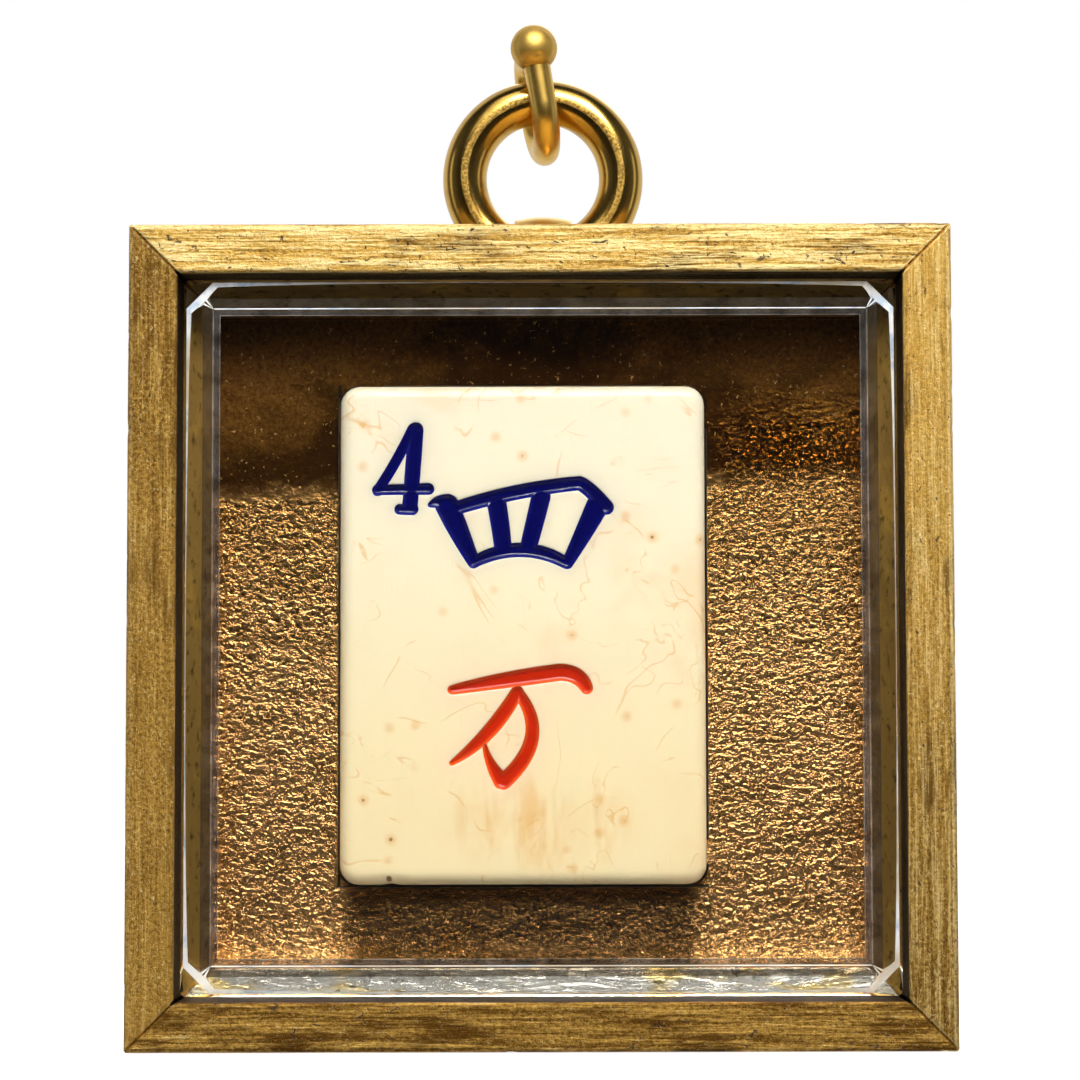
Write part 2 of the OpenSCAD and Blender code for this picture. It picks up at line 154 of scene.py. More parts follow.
class GlassSettings(PropertyGroup):
    """Sizes of the bevelled pane."""

    bevel: length("Bevel", "Width of the ground bevel", 2.0)
    drop: length("Drop", "How far the bevel drops towards the edge", 0.6)
    fall: share("Fall", "Slope of the bevel's inner part", 0.17)
    corner: length("Corner", "Radius of the pane's corners", 0.4)
    crest: length("Crest", "Width of the hazy facet inside the crest line", 0.36)
    haze: length("Haze", "Width of the hazy facet outside the crest line", 0.6)
    crest_line: length("Crest line", "Width of the fine ground line along the crest", 0.07)
    edge: length("Edge", "Width of the polished edge outside the ground stroke", 0.2)
    # The stroke is painted reflection, where the bevel's rounded edge would reflect the light.
    stroke: length("Stroke", "Width of the ground stroke in the middle of a side", 0.05)
    swell: length("Swell", "How much wider the ground stroke is at the corners", 0.34)
    swell_reach: length("Swell reach", "How far the wider stroke runs from a corner", 6.5)
    cut_corner: length("Cut corner", "Cut across the bevel's outer corners", 1.6)
    tint: colour("Tint", "Tint of the glass", "#FBFDFC")


class TileSettings(PropertyGroup):
    """Sizes and colours of the tile and of the leaf behind it."""

    corner: length("Corner", "Radius of the tile's upright corners", 1.2)
    edge: length("Edge", "Radius of the tile's front edges", 0.8)
    bone_thickness: length("Bone thickness", "Thickness of the bone face without its dovetail", 4.2)
    tail_root: length("Dovetail root", "Width of the dovetail where it leaves the bone", 8.0)
    tail_end: length("Dovetail end", "Width of the dovetail at its end", 10.0)
    engraving: length("Engraving", "Depth of the engraved marks", 0.5)
    crinkle: length("Crinkle", "Height of the creases in the leaf", 0.05)
    leaf_step: length("Leaf step", "Spacing of the leaf's mesh", 0.17)
    bone: colour("Bone", "Clean bone near the top", "#EEE2C6")
    bone_low: colour("Low bone", "Yellower bone near the bottom", "#F0DCAE")
    amber: colour("Amber", "Amber stains in the bone", "#E0AC62")
    speck: colour("Speck", "Brown specks and cracks in the bone", "#87501A")
    blue: colour("Blue", "Blue paint", "#01024C")
    blue_rim: colour("Blue rim", "Thin blue paint along a stroke's rim", "#060A6A")
    red: colour("Red", "Red paint", "#C22607")
    red_rim: colour("Red rim", "Thin red paint along a stroke's rim", "#E0561A")
    leaf: colour("Leaf", "Bronze leaf", "#EAB472")
    leaf_shade: colour("Leaf shade", "Tarnish in the creases of the leaf", "#966E3A")
    # The next three colours are painted light on the leaf: a brown for light that leaks through the bevel
    # into the painted shadow of the top rail, a glint colour for flakes painted as catching the light in
    # that shadow, and a black for the painted shadow itself.
    painted_leaf_light: colour("Leaf brown", "Browned leaf", "#785020")
    painted_leaf_glint: colour("Leaf glint", "Flakes that still shine on the darkened leaf", "#A8681A")
    painted_leaf_shadow: colour("Leaf black", "Blackened leaf", "#331C05")


class HangerSettings(PropertyGroup):
    """Sizes and colours of the ring, the hook, the strap and its screw."""

    ring_wire: length("Ring wire", "Diameter of the ring's wire", 2.95)
    hook_wire: length("Hook wire", "Diameter of the hook's wire", 1.8)
    hook_half: length("Hook half width", "Distance of the hook's legs from the ring's wire", 2.675)
    hook_bend: length("Hook bend", "Height of the lower bend's middle above the ring's wire", -0.7)
    top_bend: length("Top bend", "Radius of the bend behind the ball", 1.6)
    ball: length("Ball", "Diameter of the ball", 3.1)
    ball_rise: length("Ball rise", "Height of the ball above the ring's wire", 3.1)
    ball_socket: length("Ball socket", "How far the wire goes into the ball", 0.42)
    hook_station: degrees("Hook station", "Angle of the hook round the ring", 4)
    hook_lean: degrees("Hook lean", "Lean of the hook from the ring's radius", 5.5)
    hook_yaw: degrees("Hook turn", "Turn of the hook about its length", 6.5)
    strap_thickness: length("Strap thickness", "Thickness of the strap", 0.5)
    strap_fold: length("Strap fold", "Radius of the fold under the strap's loop", 0.8)
    seam: length("Seam", "Height of the casting seam on the ring", 0.012)
    brass: colour("Brass", "Polished brass", "#DDB55C")
    dull_brass: colour("Dull brass", "Toned brass", "#8F6A2B")


class BackSettings(PropertyGroup):
    """Sizes and colours of the back board and its nails."""

    nail: length("Nail", "Diameter of a back nail", 0.6)
    nail_head: length("Nail head", "Diameter of a nail's head", 1.2)
    nail_head_height: length("Nail head height", "Height of a nail's head", 0.25)
    nail_length: length("Nail length", "Length of a nail under its head", 5.0)
    nail_spread: length("Nail spread", "Distance of a nail from the middle of its rail", 12.0)
    nail_seed: IntProperty(name="Nail seed", description="Seed of the nails' small tilts", default=7)
    wood: colour("Wood", "Pale wood of the boards", "#B9935F")
    wood_dark: colour("Dark wood", "Grain of the boards", "#7A5730")
    steel: colour("Steel", "Steel of the nails", "#8C8B88")
    rust: colour("Rust", "Rust on the nails", "#5A3A22")


class StageSettings(PropertyGroup):
    """Camera, lamps and surroundings."""

    camera_place: position("Camera place", "Where the camera stands", (0.15 * MM, -209.1 * MM, 16.06 * MM))
    camera_turn: FloatVectorProperty(
        name="Camera turn", description="Pitch, roll and yaw of the camera", size=3, subtype="EULER",
        default=(math.radians(4.18), math.radians(-0.12), math.radians(-0.05)),
    )
    lens: number("Lens", "Focal length in millimetres", 110.8)
    key_place: position("Key place", "Where the near key lamp hangs", (0.025, -0.165, 0.200))
    softbox_place: position("Softbox place", "Where the large softbox hangs", (0.0, -0.315, 0.42))
    key_power: number("Key power", "Power of the key lamp in watts", 0.62)
    softbox_power: number("Softbox power", "Power of the softbox in watts", 0.9)
    side_power: number("Side power", "Power of each side lamp in watts", 0.12)
    back_power: number("Back power", "Power of the lamp behind in watts", 0.4)
    floor_glow: share("Floor glow", "How far the white floor shines by itself", 0.75)
    room: share("Room", "Brightness of the dark part of the room", 0.016)
    side_glow: share("Side glow", "Brightness of the room to the left and the right", 0.09)
    surround: share("Surround", "Brightness of the white surroundings behind", 0.9)


class FramedTileSettings(PropertyGroup):
    """All settings of the framed tile."""

    rails: PointerProperty(type=RailSettings)
    glass: PointerProperty(type=GlassSettings)
    tile: PointerProperty(type=TileSettings)
    hanger: PointerProperty(type=HangerSettings)
    back: PointerProperty(type=BackSettings)
    stage: PointerProperty(type=StageSettings)


class Wire:
    """One output socket. Sums with it add Math nodes to its sheet."""

    def __init__(self, sheet, socket):
        self.sheet = sheet
        self.socket = socket

    def math(self, operation, *values):
        return self.sheet.add("ShaderNodeMath", dict(enumerate(values)), {"operation": operation})

    def __add__(self, other):
        return self.math("ADD", self, other)

    def __sub__(self, other):
        return self.math("SUBTRACT", self, other)

    def __rsub__(self, other):
        return self.math("SUBTRACT", other, self)

    def __mul__(self, other):
        return self.math("MULTIPLY", self, other)

    def __truediv__(self, other):
        return self.math("DIVIDE", self, other)

    __radd__ = __add__
    __rmul__ = __mul__

    def least(self, other):
        return self.math("MINIMUM", self, other)

    def most(self, other):
        return self.math("MAXIMUM", self, other)

    def size(self):
        return self.math("ABSOLUTE", self)

    def step(self, low, high):
        """0 below low, 1 above high and smooth between them."""
        return self.sheet.add(
            "ShaderNodeMapRange",
            {"Value": self, "From Min": low, "From Max": high},
            {"interpolation_type": "SMOOTHSTEP"},
        )


class Sheet:
    """A node tree that is filled by Python expressions."""

    def __init__(self, tree):
        self.tree = tree
        self.tree.nodes.clear()

    def add(self, kind, inputs=None, settings=None, out=0):
        """Adds one node: its settings are set first, then the values and links of its sockets."""
        node = self.tree.nodes.new(kind)
        for key, value in (settings or {}).items():
            setattr(node, key, value)
        for key, value in (inputs or {}).items():
            if isinstance(value, Wire):
                self.tree.links.new(value.socket, node.inputs[key])
            else:
                node.inputs[key].default_value = value
        return Wire(self, node.outputs[out]) if node.outputs else node

    def parts(self, vector):
        """The three numbers of a vector."""
        first = self.add("ShaderNodeSeparateXYZ", {"Vector": vector})
        return [Wire(self, first.socket.node.outputs[i]) for i in range(3)]

    def stretch(self, vector, scale, turn=(0, 0, 0), place=(0, 0, 0)):
        return self.add(
            "ShaderNodeMapping", {"Vector": vector, "Scale": scale, "Rotation": turn, "Location": place}
        )

    def noise(self, vector, scale=1.0, detail=2.0, rough=0.5, twist=0.0):
        return self.add(
            "ShaderNodeTexNoise",
            {"Vector": vector, "Scale": scale, "Detail": detail, "Roughness": rough, "Distortion": twist},
        )

    def cells(self, vector, scale):
        """The distance to the nearest of many scattered points, and a random number for that point."""
        near = self.add("ShaderNodeTexVoronoi", {"Vector": vector, "Scale": scale})
        return near, self.parts(Wire(self, near.socket.node.outputs["Color"]))[0]

    def attribute(self, name, out="Vector"):
        """What the mesh carries at its points under that name."""
        return self.add("ShaderNodeAttribute", settings={"attribute_name": name}, out=out)

    def mix(self, factor, first, second):
        """A mix of two colours."""
        inputs = {0: factor, 6: paint_value(first), 7: paint_value(second)}
        return self.add("ShaderNodeMix", inputs, {"data_type": "RGBA"}, out=2)


class Finish(Sheet):
    """A material."""

    def __init__(self, name):
        self.material = bpy.data.materials.new(name)
        self.material.use_nodes = True
        super().__init__(self.material.node_tree)

    def place(self):
        """Object coordinates in millimetres."""
        point = self.add("ShaderNodeTexCoord", out="Object")
        return self.stretch(point, (1 / MM,) * 3)

    def grain(self):
        """Along, across and side of a rail, in millimetres."""
        return self.attribute("grain")

    def bump(self, height, distance, strength=1.0):
        return self.add("ShaderNodeBump", {"Height": height, "Distance": distance, "Strength": strength})

    def surface(self, **sockets):
        """Ends the material in one Principled shader."""
        named = {}
        for key, value in sockets.items():
            socket = key.replace("_", " ").replace("Ior", "IOR")
            named[socket] = paint_value(value) if "Color" in socket else value
        shader = self.add("ShaderNodeBsdfPrincipled", named)
        self.add("ShaderNodeOutputMaterial", {"Surface": shader})
        return self.material


def paint_value(value):
    """A colour gets its fourth number."""
    if isinstance(value, (Wire, float, int)) or len(value) != 3:
        return value
    return (*value, 1.0)


def settings():
    return bpy.context.scene.framed_tile


def gilt_finish(name, inner, painted_light, wear, streaks, flecks, grit, fade):
    """Gilding over a dark clay ground. Painted light lightens or darkens it rail by rail,
    wear bares the ground and grit makes it grainy.

    Fade is painted light that lightens it towards one end. The painted light also sets painted highlight
    lines along the outer arris and beside the mitres. Inner says where across the section the inside face
    starts and ends, and how far from the rail's middle the mitres are; the inside face is painted dark as
    shade.
    """
    look = settings().rails
    inside, behind, reach = inner
    f = Finish(name)
    run = f.grain()
    along, across, _ = f.parts(run)
    streak = f.noise(f.stretch(run, (0.10, 2.6, 1)), 1, 6, 0.68)
    hair = f.noise(f.stretch(run, (0.3, 7.0, 1)), 1, 4, 0.7, 0.4)
    speck = f.noise(f.stretch(run, (3.0 + grit * 1.6, 4.2, 1)), 1, 5, 0.75, 0.3)
    cloud = f.noise(f.stretch(run, (0.16, 0.5, 1)), 1, 4, 0.6)
    spot = f.noise(f.stretch(run, (1.0, 1.9, 1)), 1, 5, 0.68, 0.9)
    pock = f.noise(f.stretch(run, (3.2, 3.6, 1), place=(7, 3, 1)), 1, 3, 0.6, 0.6)
    glint = f.noise(f.stretch(run, (3.4, 5.0, 1), place=(3, 9, 4)), 1, 3, 0.6, 1.2)
    cluster = cloud.step(0.42, 0.62) * 0.05
    pits = (pock + cluster).step(0.73 - wear, 0.77 - wear)
    lost = (spot.step(0.67 - wear, 0.70 - wear) + pits).least(1.0)
    smudge = cloud.step(0.50, 0.66) * speck.step(0.34, 0.58) * (1.0 - 0.75 * grit)
    level = streak * (2.4 - 1.7 * grit) + speck * (1.5 + 0.7 * grit) + hair * (1.2 - 1.0 * grit)
    middle = (5.1 - 2.0 * grit) / 2
    # Painted light: the tone is lifted for the whole rail, and more towards one end.
    tone = level - middle + 0.1 + 0.1 * grit + painted_light + along * fade - smudge * 0.6
    tone = tone.step(-0.32, 0.42 + 0.4 * grit)
    gold = f.mix(tone, look.old_gold, look.gold)
    # Pale gold in rubbed streaks, partly lifted by the painted light.
    bright = (streak * 0.7 + hair * 0.6 + speck * 0.3 + painted_light * 0.35).step(0.86, 0.99) * streaks
    # Painted highlights: bright lines along the outer arris and beside the mitres, as strong as the rail's
    # painted light.
    gap = reach - across - along.size()
    on_front = 1.0 - across.step(inside, inside + 0.1)
    joint = gap.step(0.12, 0.17) * (1.0 - gap.step(0.2, 0.27)) * on_front
    rim = across.step(-0.2, -0.1) * (1.0 - across.step(0.0, 0.1)) * speck.step(0.34, 0.5)
    line = (joint + rim) * (max(0.0, painted_light) * 2.5)
    bright = (bright + glint.step(0.58, 0.68) * flecks + line).least(1.0)
    gold = f.mix(bright, gold, look.pale_gold)
    base = f.mix((lost * 0.9 + smudge * 0.3).least(1.0), gold, look.bole_and_shade)
    # Painted shade: the inside face beside the glass is painted nearly as dark as the bare ground.
    dark = across.step(inside, inside + 0.15) * (1.0 - across.step(behind - 0.1, behind))
    base = f.mix(dark * (0.94 - bright * 0.25), base, look.bole_and_shade)
    height = streak * 0.7 + hair * 0.4 + speck * (0.8 + grit * 0.7) + glint * 0.4 - lost * 1.3
    return f.surface(
        Base_Color=base,
        Metallic=0.94 - lost * 0.85,
        Roughness=(0.46 - bright * 0.14 + smudge * 0.12 + lost * 0.3).least(0.9),
        Normal=f.bump(height, 0.1 * MM, 1.0),
    )


def fillet_finish(name, body, patch_colour, polish, ripple):
    """Smooth lacquered leaf on the fillets under the glass, rippled by the brush."""
    f = Finish(name)
    run = f.grain()
    wave = f.noise(f.stretch(run, (0.16, 0.55, 1)), 1, 2, 0.5, 0.8)
    fine = f.noise(f.stretch(run, (1.2, 3.0, 1)), 1, 4, 0.65)
    patch = f.noise(f.stretch(run, (0.22, 0.5, 1), place=(5, 2, 9)), 1, 3, 0.55)
    base = f.mix(patch.step(0.52, 0.66), body, patch_colour)
    base = f.mix(fine.step(0.52, 0.70) * 0.7, base, settings().rails.bole_and_shade)
    return f.surface(
        Base_Color=base, Metallic=0.95, Roughness=polish + fine * 0.12,
        Normal=f.bump(wave + fine * 0.25, ripple, 1.0),
    )


def brass_finish(name, polish, seam_y=None, tarnish=0.0):
    """Brass with soft tarnish and fine rubbing marks."""
    look = settings().hanger
    f = Finish(name)
    here = f.place()
    smoke = f.noise(here, 0.55, 3, 0.55)
    rub = f.noise(f.stretch(here, (3, 9, 16)), 1, 3, 0.6)
    fine = f.noise(here, 9.0, 2, 0.6)
    dull = smoke.step(0.46, 0.80) * 0.45 + tarnish
    rough = polish + smoke * 0.08 + rub * 0.05
    height = rub * 0.5 + fine * 0.5
    base = f.mix(dull, look.brass, look.dull_brass)
    if seam_y is not None:
        depth = f.parts(here)[1]
        line = 1.0 - (depth - seam_y / MM + (smoke - 0.5) * 0.03).step(0.0, 0.04)
        pitted = line * f.noise(here, 6.0, 3, 0.7).step(0.40, 0.56)
        rough = rough + line * 0.16
        base = f.mix(pitted * 0.8, base, tuple(c * 0.3 for c in look.dull_brass))
        height = height + pitted * 4.0
    return f.surface(
        Base_Color=base, Metallic=1.0, Roughness=rough, Normal=f.bump(height, 0.004 * MM, 0.7)
    )


def leaf_finish():
    """Crinkled bronze leaf, with painted shadows of the top rail over its top part and of the tile below
    the tile.

    Heights are in millimetres above the underside of the frame.
    """
    look = settings().tile
    lo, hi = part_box("tile_back")
    low_z, mid_x, half_w = lo.z / MM, (lo.x + hi.x) / 2 / MM, (hi.x - lo.x) / 2 / MM
    f = Finish("bronze_leaf")
    here = f.place()
    x, _, z = f.parts(here)
    wide = x - mid_x
    crease = f.noise(f.stretch(here, (2.2, 1.0, 3.0), turn=(0, 0.3, 0)), 1, 3, 0.6, 0.5)
    flake = f.noise(f.stretch(here, (3.3, 1.0, 4.6), turn=(0, 0.2, 0)), 1, 2, 0.55, 0.4)
    patch = f.noise(here, 0.16, 3, 0.55)
    stray = patch - 0.5
    ragged = f.noise(here, 0.9, 3, 0.6) - 0.5
    # Painted shadow of the top rail: the leaf's top part, above a ragged, slightly tilted edge.
    rail_shadow = (z - x * 0.035 + ragged * 1.8 + stray * 2.4).step(33.3, 35.5)
    # Painted shadow of the tile on the strip of leaf below it.
    under = 1.0 - (wide.size() + ragged * 2.5).step(half_w - 1.6, half_w + 0.8)
    under = under * (1.0 - (z + ragged).step(low_z + 0.2, low_z + 1.2))
    # Painted light in the painted shadow: mottled brown where light leaks in through the bevel, strongest
    # towards the top and the outer sides and weaker on the right, black elsewhere and darkest just above
    # the shadow's edge. Here smoke is the colour of this painted shadow.
    blot = f.noise(here, 0.23, 5, 0.62, 0.6)
    light_mottle = f.noise(here, 3.4, 4, 0.7)
    painted_sparkle = f.noise(here, 4.2, 2, 0.6, 0.8)
    band = 1.0 - (z + (blot - 0.5) * 8.0 + wide * 0.1).step(35.0, 38.5)
    brown = blot + (wide.size() - 14.0) * 0.028 - wide.step(6.0, 13.0) * 0.16
    brown = brown + (z - 40.0) * 0.06 - band * 0.1
    brown = brown.step(0.2, 0.72)
    brown = (brown * (0.4 + light_mottle.step(0.3, 0.7) * 0.9) + light_mottle.step(0.5, 0.75) * 0.12).least(1.0)
    smoke = f.mix(brown, look.painted_leaf_shadow, look.painted_leaf_light)
    # Painted glints: specks of bright leaf in the painted shadow, and flakes on its right that are painted
    # as catching the light.
    smoke = f.mix(painted_sparkle.step(0.66, 0.74) * 0.75, smoke, look.leaf)
    right = (x + stray * 12.0).step(10.5, 14.5) * (1.0 - (z + stray * 6.0).step(37.0, 42.0))
    smoke = f.mix(right * flake.step(0.54, 0.66), smoke, look.painted_leaf_glint)
    # Painted light: the leaf turns lighter towards the bottom.
    rise = (27.0 - z) * 0.015
    tone = f.mix((crease * 0.5 + flake * 0.5 + rise).step(0.36, 0.62), look.leaf_shade, look.leaf)
    dim = f.noise(f.stretch(here, (0.26, 1.0, 0.6), turn=(0, 0.2, 0)), 1, 3, 0.55)
    tone = f.mix(dim.step(0.46, 0.70) * 0.5, tone, look.leaf_shade)
    # The painted shadows of the tile and of the top rail are laid over the lit leaf.
    base = f.mix(under * 0.8, tone, smoke)
    base = f.mix(rail_shadow * 0.97, base, smoke)
    height = (crease + flake * 0.6) * (1.0 - rail_shadow * 0.8 * (1.0 - right))
    return f.surface(
        Base_Color=base, Metallic=1.0, Roughness=0.17 + patch * 0.08 + rail_shadow * 0.2 * (1.0 - right),
        Normal=f.bump(height, 0.12 * MM, 1.0),
    )


def bone_finish():
    """Old bone: amber specks with halos, brown hairlines, tan streaks, paint that bled into it and painted
    shade round the blue marks.
    """
    look = settings().tile
    lo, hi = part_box("tile_face")
    middle = (lo + hi) / 2 / MM
    f = Finish("aged_bone")
    here = f.stretch(f.place(), (1, 1, 1), place=tuple(-middle))
    x, _, z = f.parts(here)
    blue, red, _ = f.parts(f.attribute("bleed"))
    cloud = f.noise(here, 0.13, 4, 0.6, 0.6)
    mottle = f.noise(here, 0.5, 5, 0.6)
    low_centre = 1.0 - ((x - 1.0) * (x - 1.0) / 50.0 + (z + 11.5) * (z + 11.5) / 14.0).step(0.1, 1.0)
    right_edge = (x + z * 0.05).step(5.5, 10.0)
    bias = low_centre * 0.22 + right_edge * 0.12
    spots, pick = f.cells(here, 0.62)
    chosen = (pick + bias).step(0.84, 0.88)
    ragged = spots + (mottle - 0.5) * 0.16
    core = (1.0 - ragged.step(0.03, 0.075)) * chosen
    halo = (1.0 - ragged.step(0.03, 0.34)) * chosen
    chip_x, chip_z = x + CHIP_LEFT, z + 15.0
    chip = 1.0 - (chip_x * chip_x + chip_z * chip_z + (mottle - 0.5) * 0.2).step(0.02, 0.08)
    hairs = f.noise(here, 0.10, 3, 0.5, 1.1)
    leaning = f.stretch(here, (0.08, 0.1, 0.2), turn=(0, 0.35, 0), place=(4, 2, 7))
    more_hairs = f.noise(leaning, 1, 3, 0.5, 0.8)
    hair = ((1.0 - (hairs - 0.5).size().step(0.0, 0.006)) * mottle.step(0.44, 0.56)
            + (1.0 - (more_hairs - 0.47).size().step(0.0, 0.005)) * mottle.step(0.5, 0.62)).least(1.0)
    streak = f.noise(f.stretch(here, (0.7, 0.7, 0.14)), 1, 4, 0.6).step(0.46, 0.72) * low_centre
    stain = (cloud + bias * 0.35).step(0.50, 0.82) * 0.4 + mottle.step(0.55, 0.8) * 0.1
    stain = (stain + halo * 0.6 + streak * 0.6 + hair * 0.55).least(0.95)
    # Whiter towards the top and yellower towards the bottom.
    base = f.mix((z + (cloud - 0.5) * 8.0).step(-13.0, 13.0), look.bone_low, look.bone)
    base = f.mix(stain, base, look.amber)
    base = f.mix(red * 0.3, base, RED_BLEED)
    # Round the blue marks and in their counters the bone is painted greyer: blue paint that bled in, and
    # painted shade.
    base = f.mix(blue * 0.42, base, BLUE_BLEED_AND_SHADE)
    base = f.mix((core * 0.8 + chip * 0.95).least(0.95), base, look.speck)
    scratch = f.noise(f.stretch(here, (9, 1, 0.35), turn=(0, 0.6, 0)), 1, 2, 0.5)
    height = mottle * 0.4 - core * 0.8 - hair * 0.4 - scratch.step(0.66, 0.7) * 0.4
    return f.surface(
        Base_Color=base, Roughness=0.3 + mottle * 0.12, Subsurface_Weight=0.2,
        Subsurface_Radius=(1.0, 0.75, 0.45), Subsurface_Scale=0.4 * MM, Ior=1.52,
        Normal=f.bump(height, 0.02 * MM, 0.6),
    )


def enamel_finish(name, rim, body):
    """Glossy paint that pooled in the engraving, thin at the rim and deep in the middle."""
    f = Finish(name)
    here = f.place()
    pool = f.attribute("pool", "Fac")
    cloud = f.noise(here, 0.9, 3, 0.55)
    brush = f.noise(here, 4.5, 3, 0.6)
    base = f.mix((pool + (cloud - 0.5) * 0.12).step(0.02, 0.26), rim, body)
    return f.surface(
        Base_Color=base, Roughness=0.14 + brush * 0.08, Specular_IOR_Level=0.35,
        Normal=f.bump(brush, 0.03 * MM, 0.5),
    )


def glass_finish():
    f = Finish("bevelled_glass")
    smear = f.noise(f.place(), 0.12, 3, 0.6)
    return f.surface(
        Base_Color=settings().glass.tint, Roughness=smear.step(0.55, 0.9) * 0.03,
        Transmission_Weight=1.0, Ior=GLASS_IOR,
    )


def crest_finish(name, dark, pale, clear):
    """Glass with a faint grey haze from grinding."""
    f = Finish(name)
    here = f.place()
    haze = f.noise(here, 0.5, 5, 0.7)
    return f.surface(
        Base_Color=f.mix(haze.step(0.36, 0.66), dark, pale), Roughness=0.06 + haze * 0.14,
        Transmission_Weight=clear, Ior=GLASS_IOR, Normal=f.bump(haze, 0.03 * MM, 0.4),
    )


def painted_reflection_finish():
    """A stroke of painted reflection in the glass, from milky white to pale blue, where the bevel's rounded
    edge would reflect the light.
    """
    f = Finish("ground_glass")
    here = f.place()
    frost = f.noise(here, 0.7, 3, 0.6)
    warm = f.noise(here, 0.16, 3, 0.6)
    base = f.mix(frost.step(0.46, 0.66), MILKY, PALE_BLUE)
    base = f.mix(warm.step(0.46, 0.62) * 0.8, base, CREAM)
    return f.surface(
        Base_Color=base, Roughness=0.3 + frost * 0.2, Transmission_Weight=0.3, Ior=GLASS_IOR,
        Normal=f.bump(f.noise(here, 5.0, 3, 0.6), 0.02 * MM, 0.4),
    )


def wood_finish(name, pale, dark, turn=(0, 0, 0)):
    """Flat sawn wood with its grain along Z before it is turned."""
    f = Finish(name)
    here = f.stretch(f.place(), (1, 1, 1), turn=turn)
    wander = f.noise(f.stretch(here, (0.12, 0.12, 0.02)), 1, 3, 0.5)
    ring = f.noise(f.stretch(here, (0.9, 0.9, 0.035)), 1, 5, 0.6, 0.4)
    pore = f.noise(f.stretch(here, (9, 9, 0.5)), 1, 3, 0.6)
    grain = (ring * 0.8 + wander * 0.4).step(0.35, 0.85)
    base = f.mix(grain * 0.75, pale, dark)
    base = f.mix(pore.step(0.6, 0.72) * 0.5, base, tuple(c * 0.5 for c in dark))
    return f.surface(
        Base_Color=base, Roughness=0.62 + pore * 0.2,
        Normal=f.bump(ring * 0.4 - pore * 0.6, 0.05 * MM, 0.6),
    )


def steel_finish():
    look = settings().back
    f = Finish("nail_steel")
    here = f.place()
    rust = f.noise(here, 1.6, 4, 0.65).step(0.48, 0.66)
    base = f.mix(rust * 0.8, look.steel, look.rust)
    return f.surface(
        Base_Color=base, Metallic=0.95 - rust * 0.7, Roughness=0.38 + rust * 0.35,
        Normal=f.bump(f.noise(here, 6, 3, 0.6), 0.02 * MM, 0.6),
    )


def pulp_finish(name, body):
    """Card, glue and other plain fillings."""
    f = Finish(name)
    here = f.place()
    fibre = f.noise(f.stretch(here, (2, 2, 6)), 1, 4, 0.65)
    base = f.mix(fibre.step(0.3, 0.75), tuple(c * 0.8 for c in body), body)
    return f.surface(Base_Color=base, Roughness=0.8 + fibre * 0.1, Normal=f.bump(fibre, 0.04 * MM, 0.5))


def link(name, data):
    """A new object in the scene."""
    obj = bpy.data.objects.new(name, data)
    bpy.context.scene.collection.objects.link(obj)
    return obj


def dress(mesh, material):
    mesh.materials.clear()
    mesh.materials.append(material)


def face_outwards(mesh):
    """Points the faces of closed shapes outwards."""
    bm = bmesh.new()
    bm.from_mesh(mesh)
    bmesh.ops.recalc_face_normals(bm, faces=bm.faces)
    bm.to_mesh(mesh)
    bm.free()


def smooth(mesh, angle):
    """Shades a mesh smooth, except at edges that bend by more than the angle in degrees."""
    mesh.shade_smooth()
    mesh.set_sharp_from_angle(angle=math.radians(angle))


def solid(name, verts, faces, material, angle=35):
    """A piece from points and faces, closed and with its faces pointing outwards."""
    mesh = bpy.data.meshes.new(name)
    mesh.from_pydata(verts, [], faces)
    face_outwards(mesh)
    smooth(mesh, angle)
    dress(mesh, material)
    return link(name, mesh)


def finish_piece(obj, body, slot, *nodes):
    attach(obj, body)
    if nodes:
        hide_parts(*nodes)
    return obj


def keep_node(name, material):
    """A CAD node whose shape is right keeps it and takes the finish."""
    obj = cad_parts[name]
    dress(obj.data, material)


def loft(rows, wrap=False):
    """Points and faces between rows that are closed loops, with the ends capped unless they wrap."""
    count = len(rows[0])
    verts = [point for row in rows for point in row]
    faces = []
    for i in range(len(rows) if wrap else len(rows) - 1):
        a = i * count
        b = (i + 1) % len(rows) * count
        faces += [(a + j, a + (j + 1) % count, b + (j + 1) % count, b + j) for j in range(count)]
    if not wrap:
        faces.append(tuple(reversed(range(count))))
        faces.append(tuple(range(len(verts) - count, len(verts))))
    return verts, faces


def arc(across, up, radius, turns):
    """Points of a circle at those angles."""
    return [(across + radius * math.cos(t), up + radius * math.sin(t)) for t in turns]


def round_turns(count):
    return [TAU * i / count for i in range(count)]


# Points along each stretch of a rail's section, and along its length.
OUTER_STEPS, CORNER_STEPS, FRONT_STEPS, INNER_STEPS, REBATE_STEPS, BACK_STEPS = 44, 6, 26, 20, 3, 24
RAIL_STEPS = 230


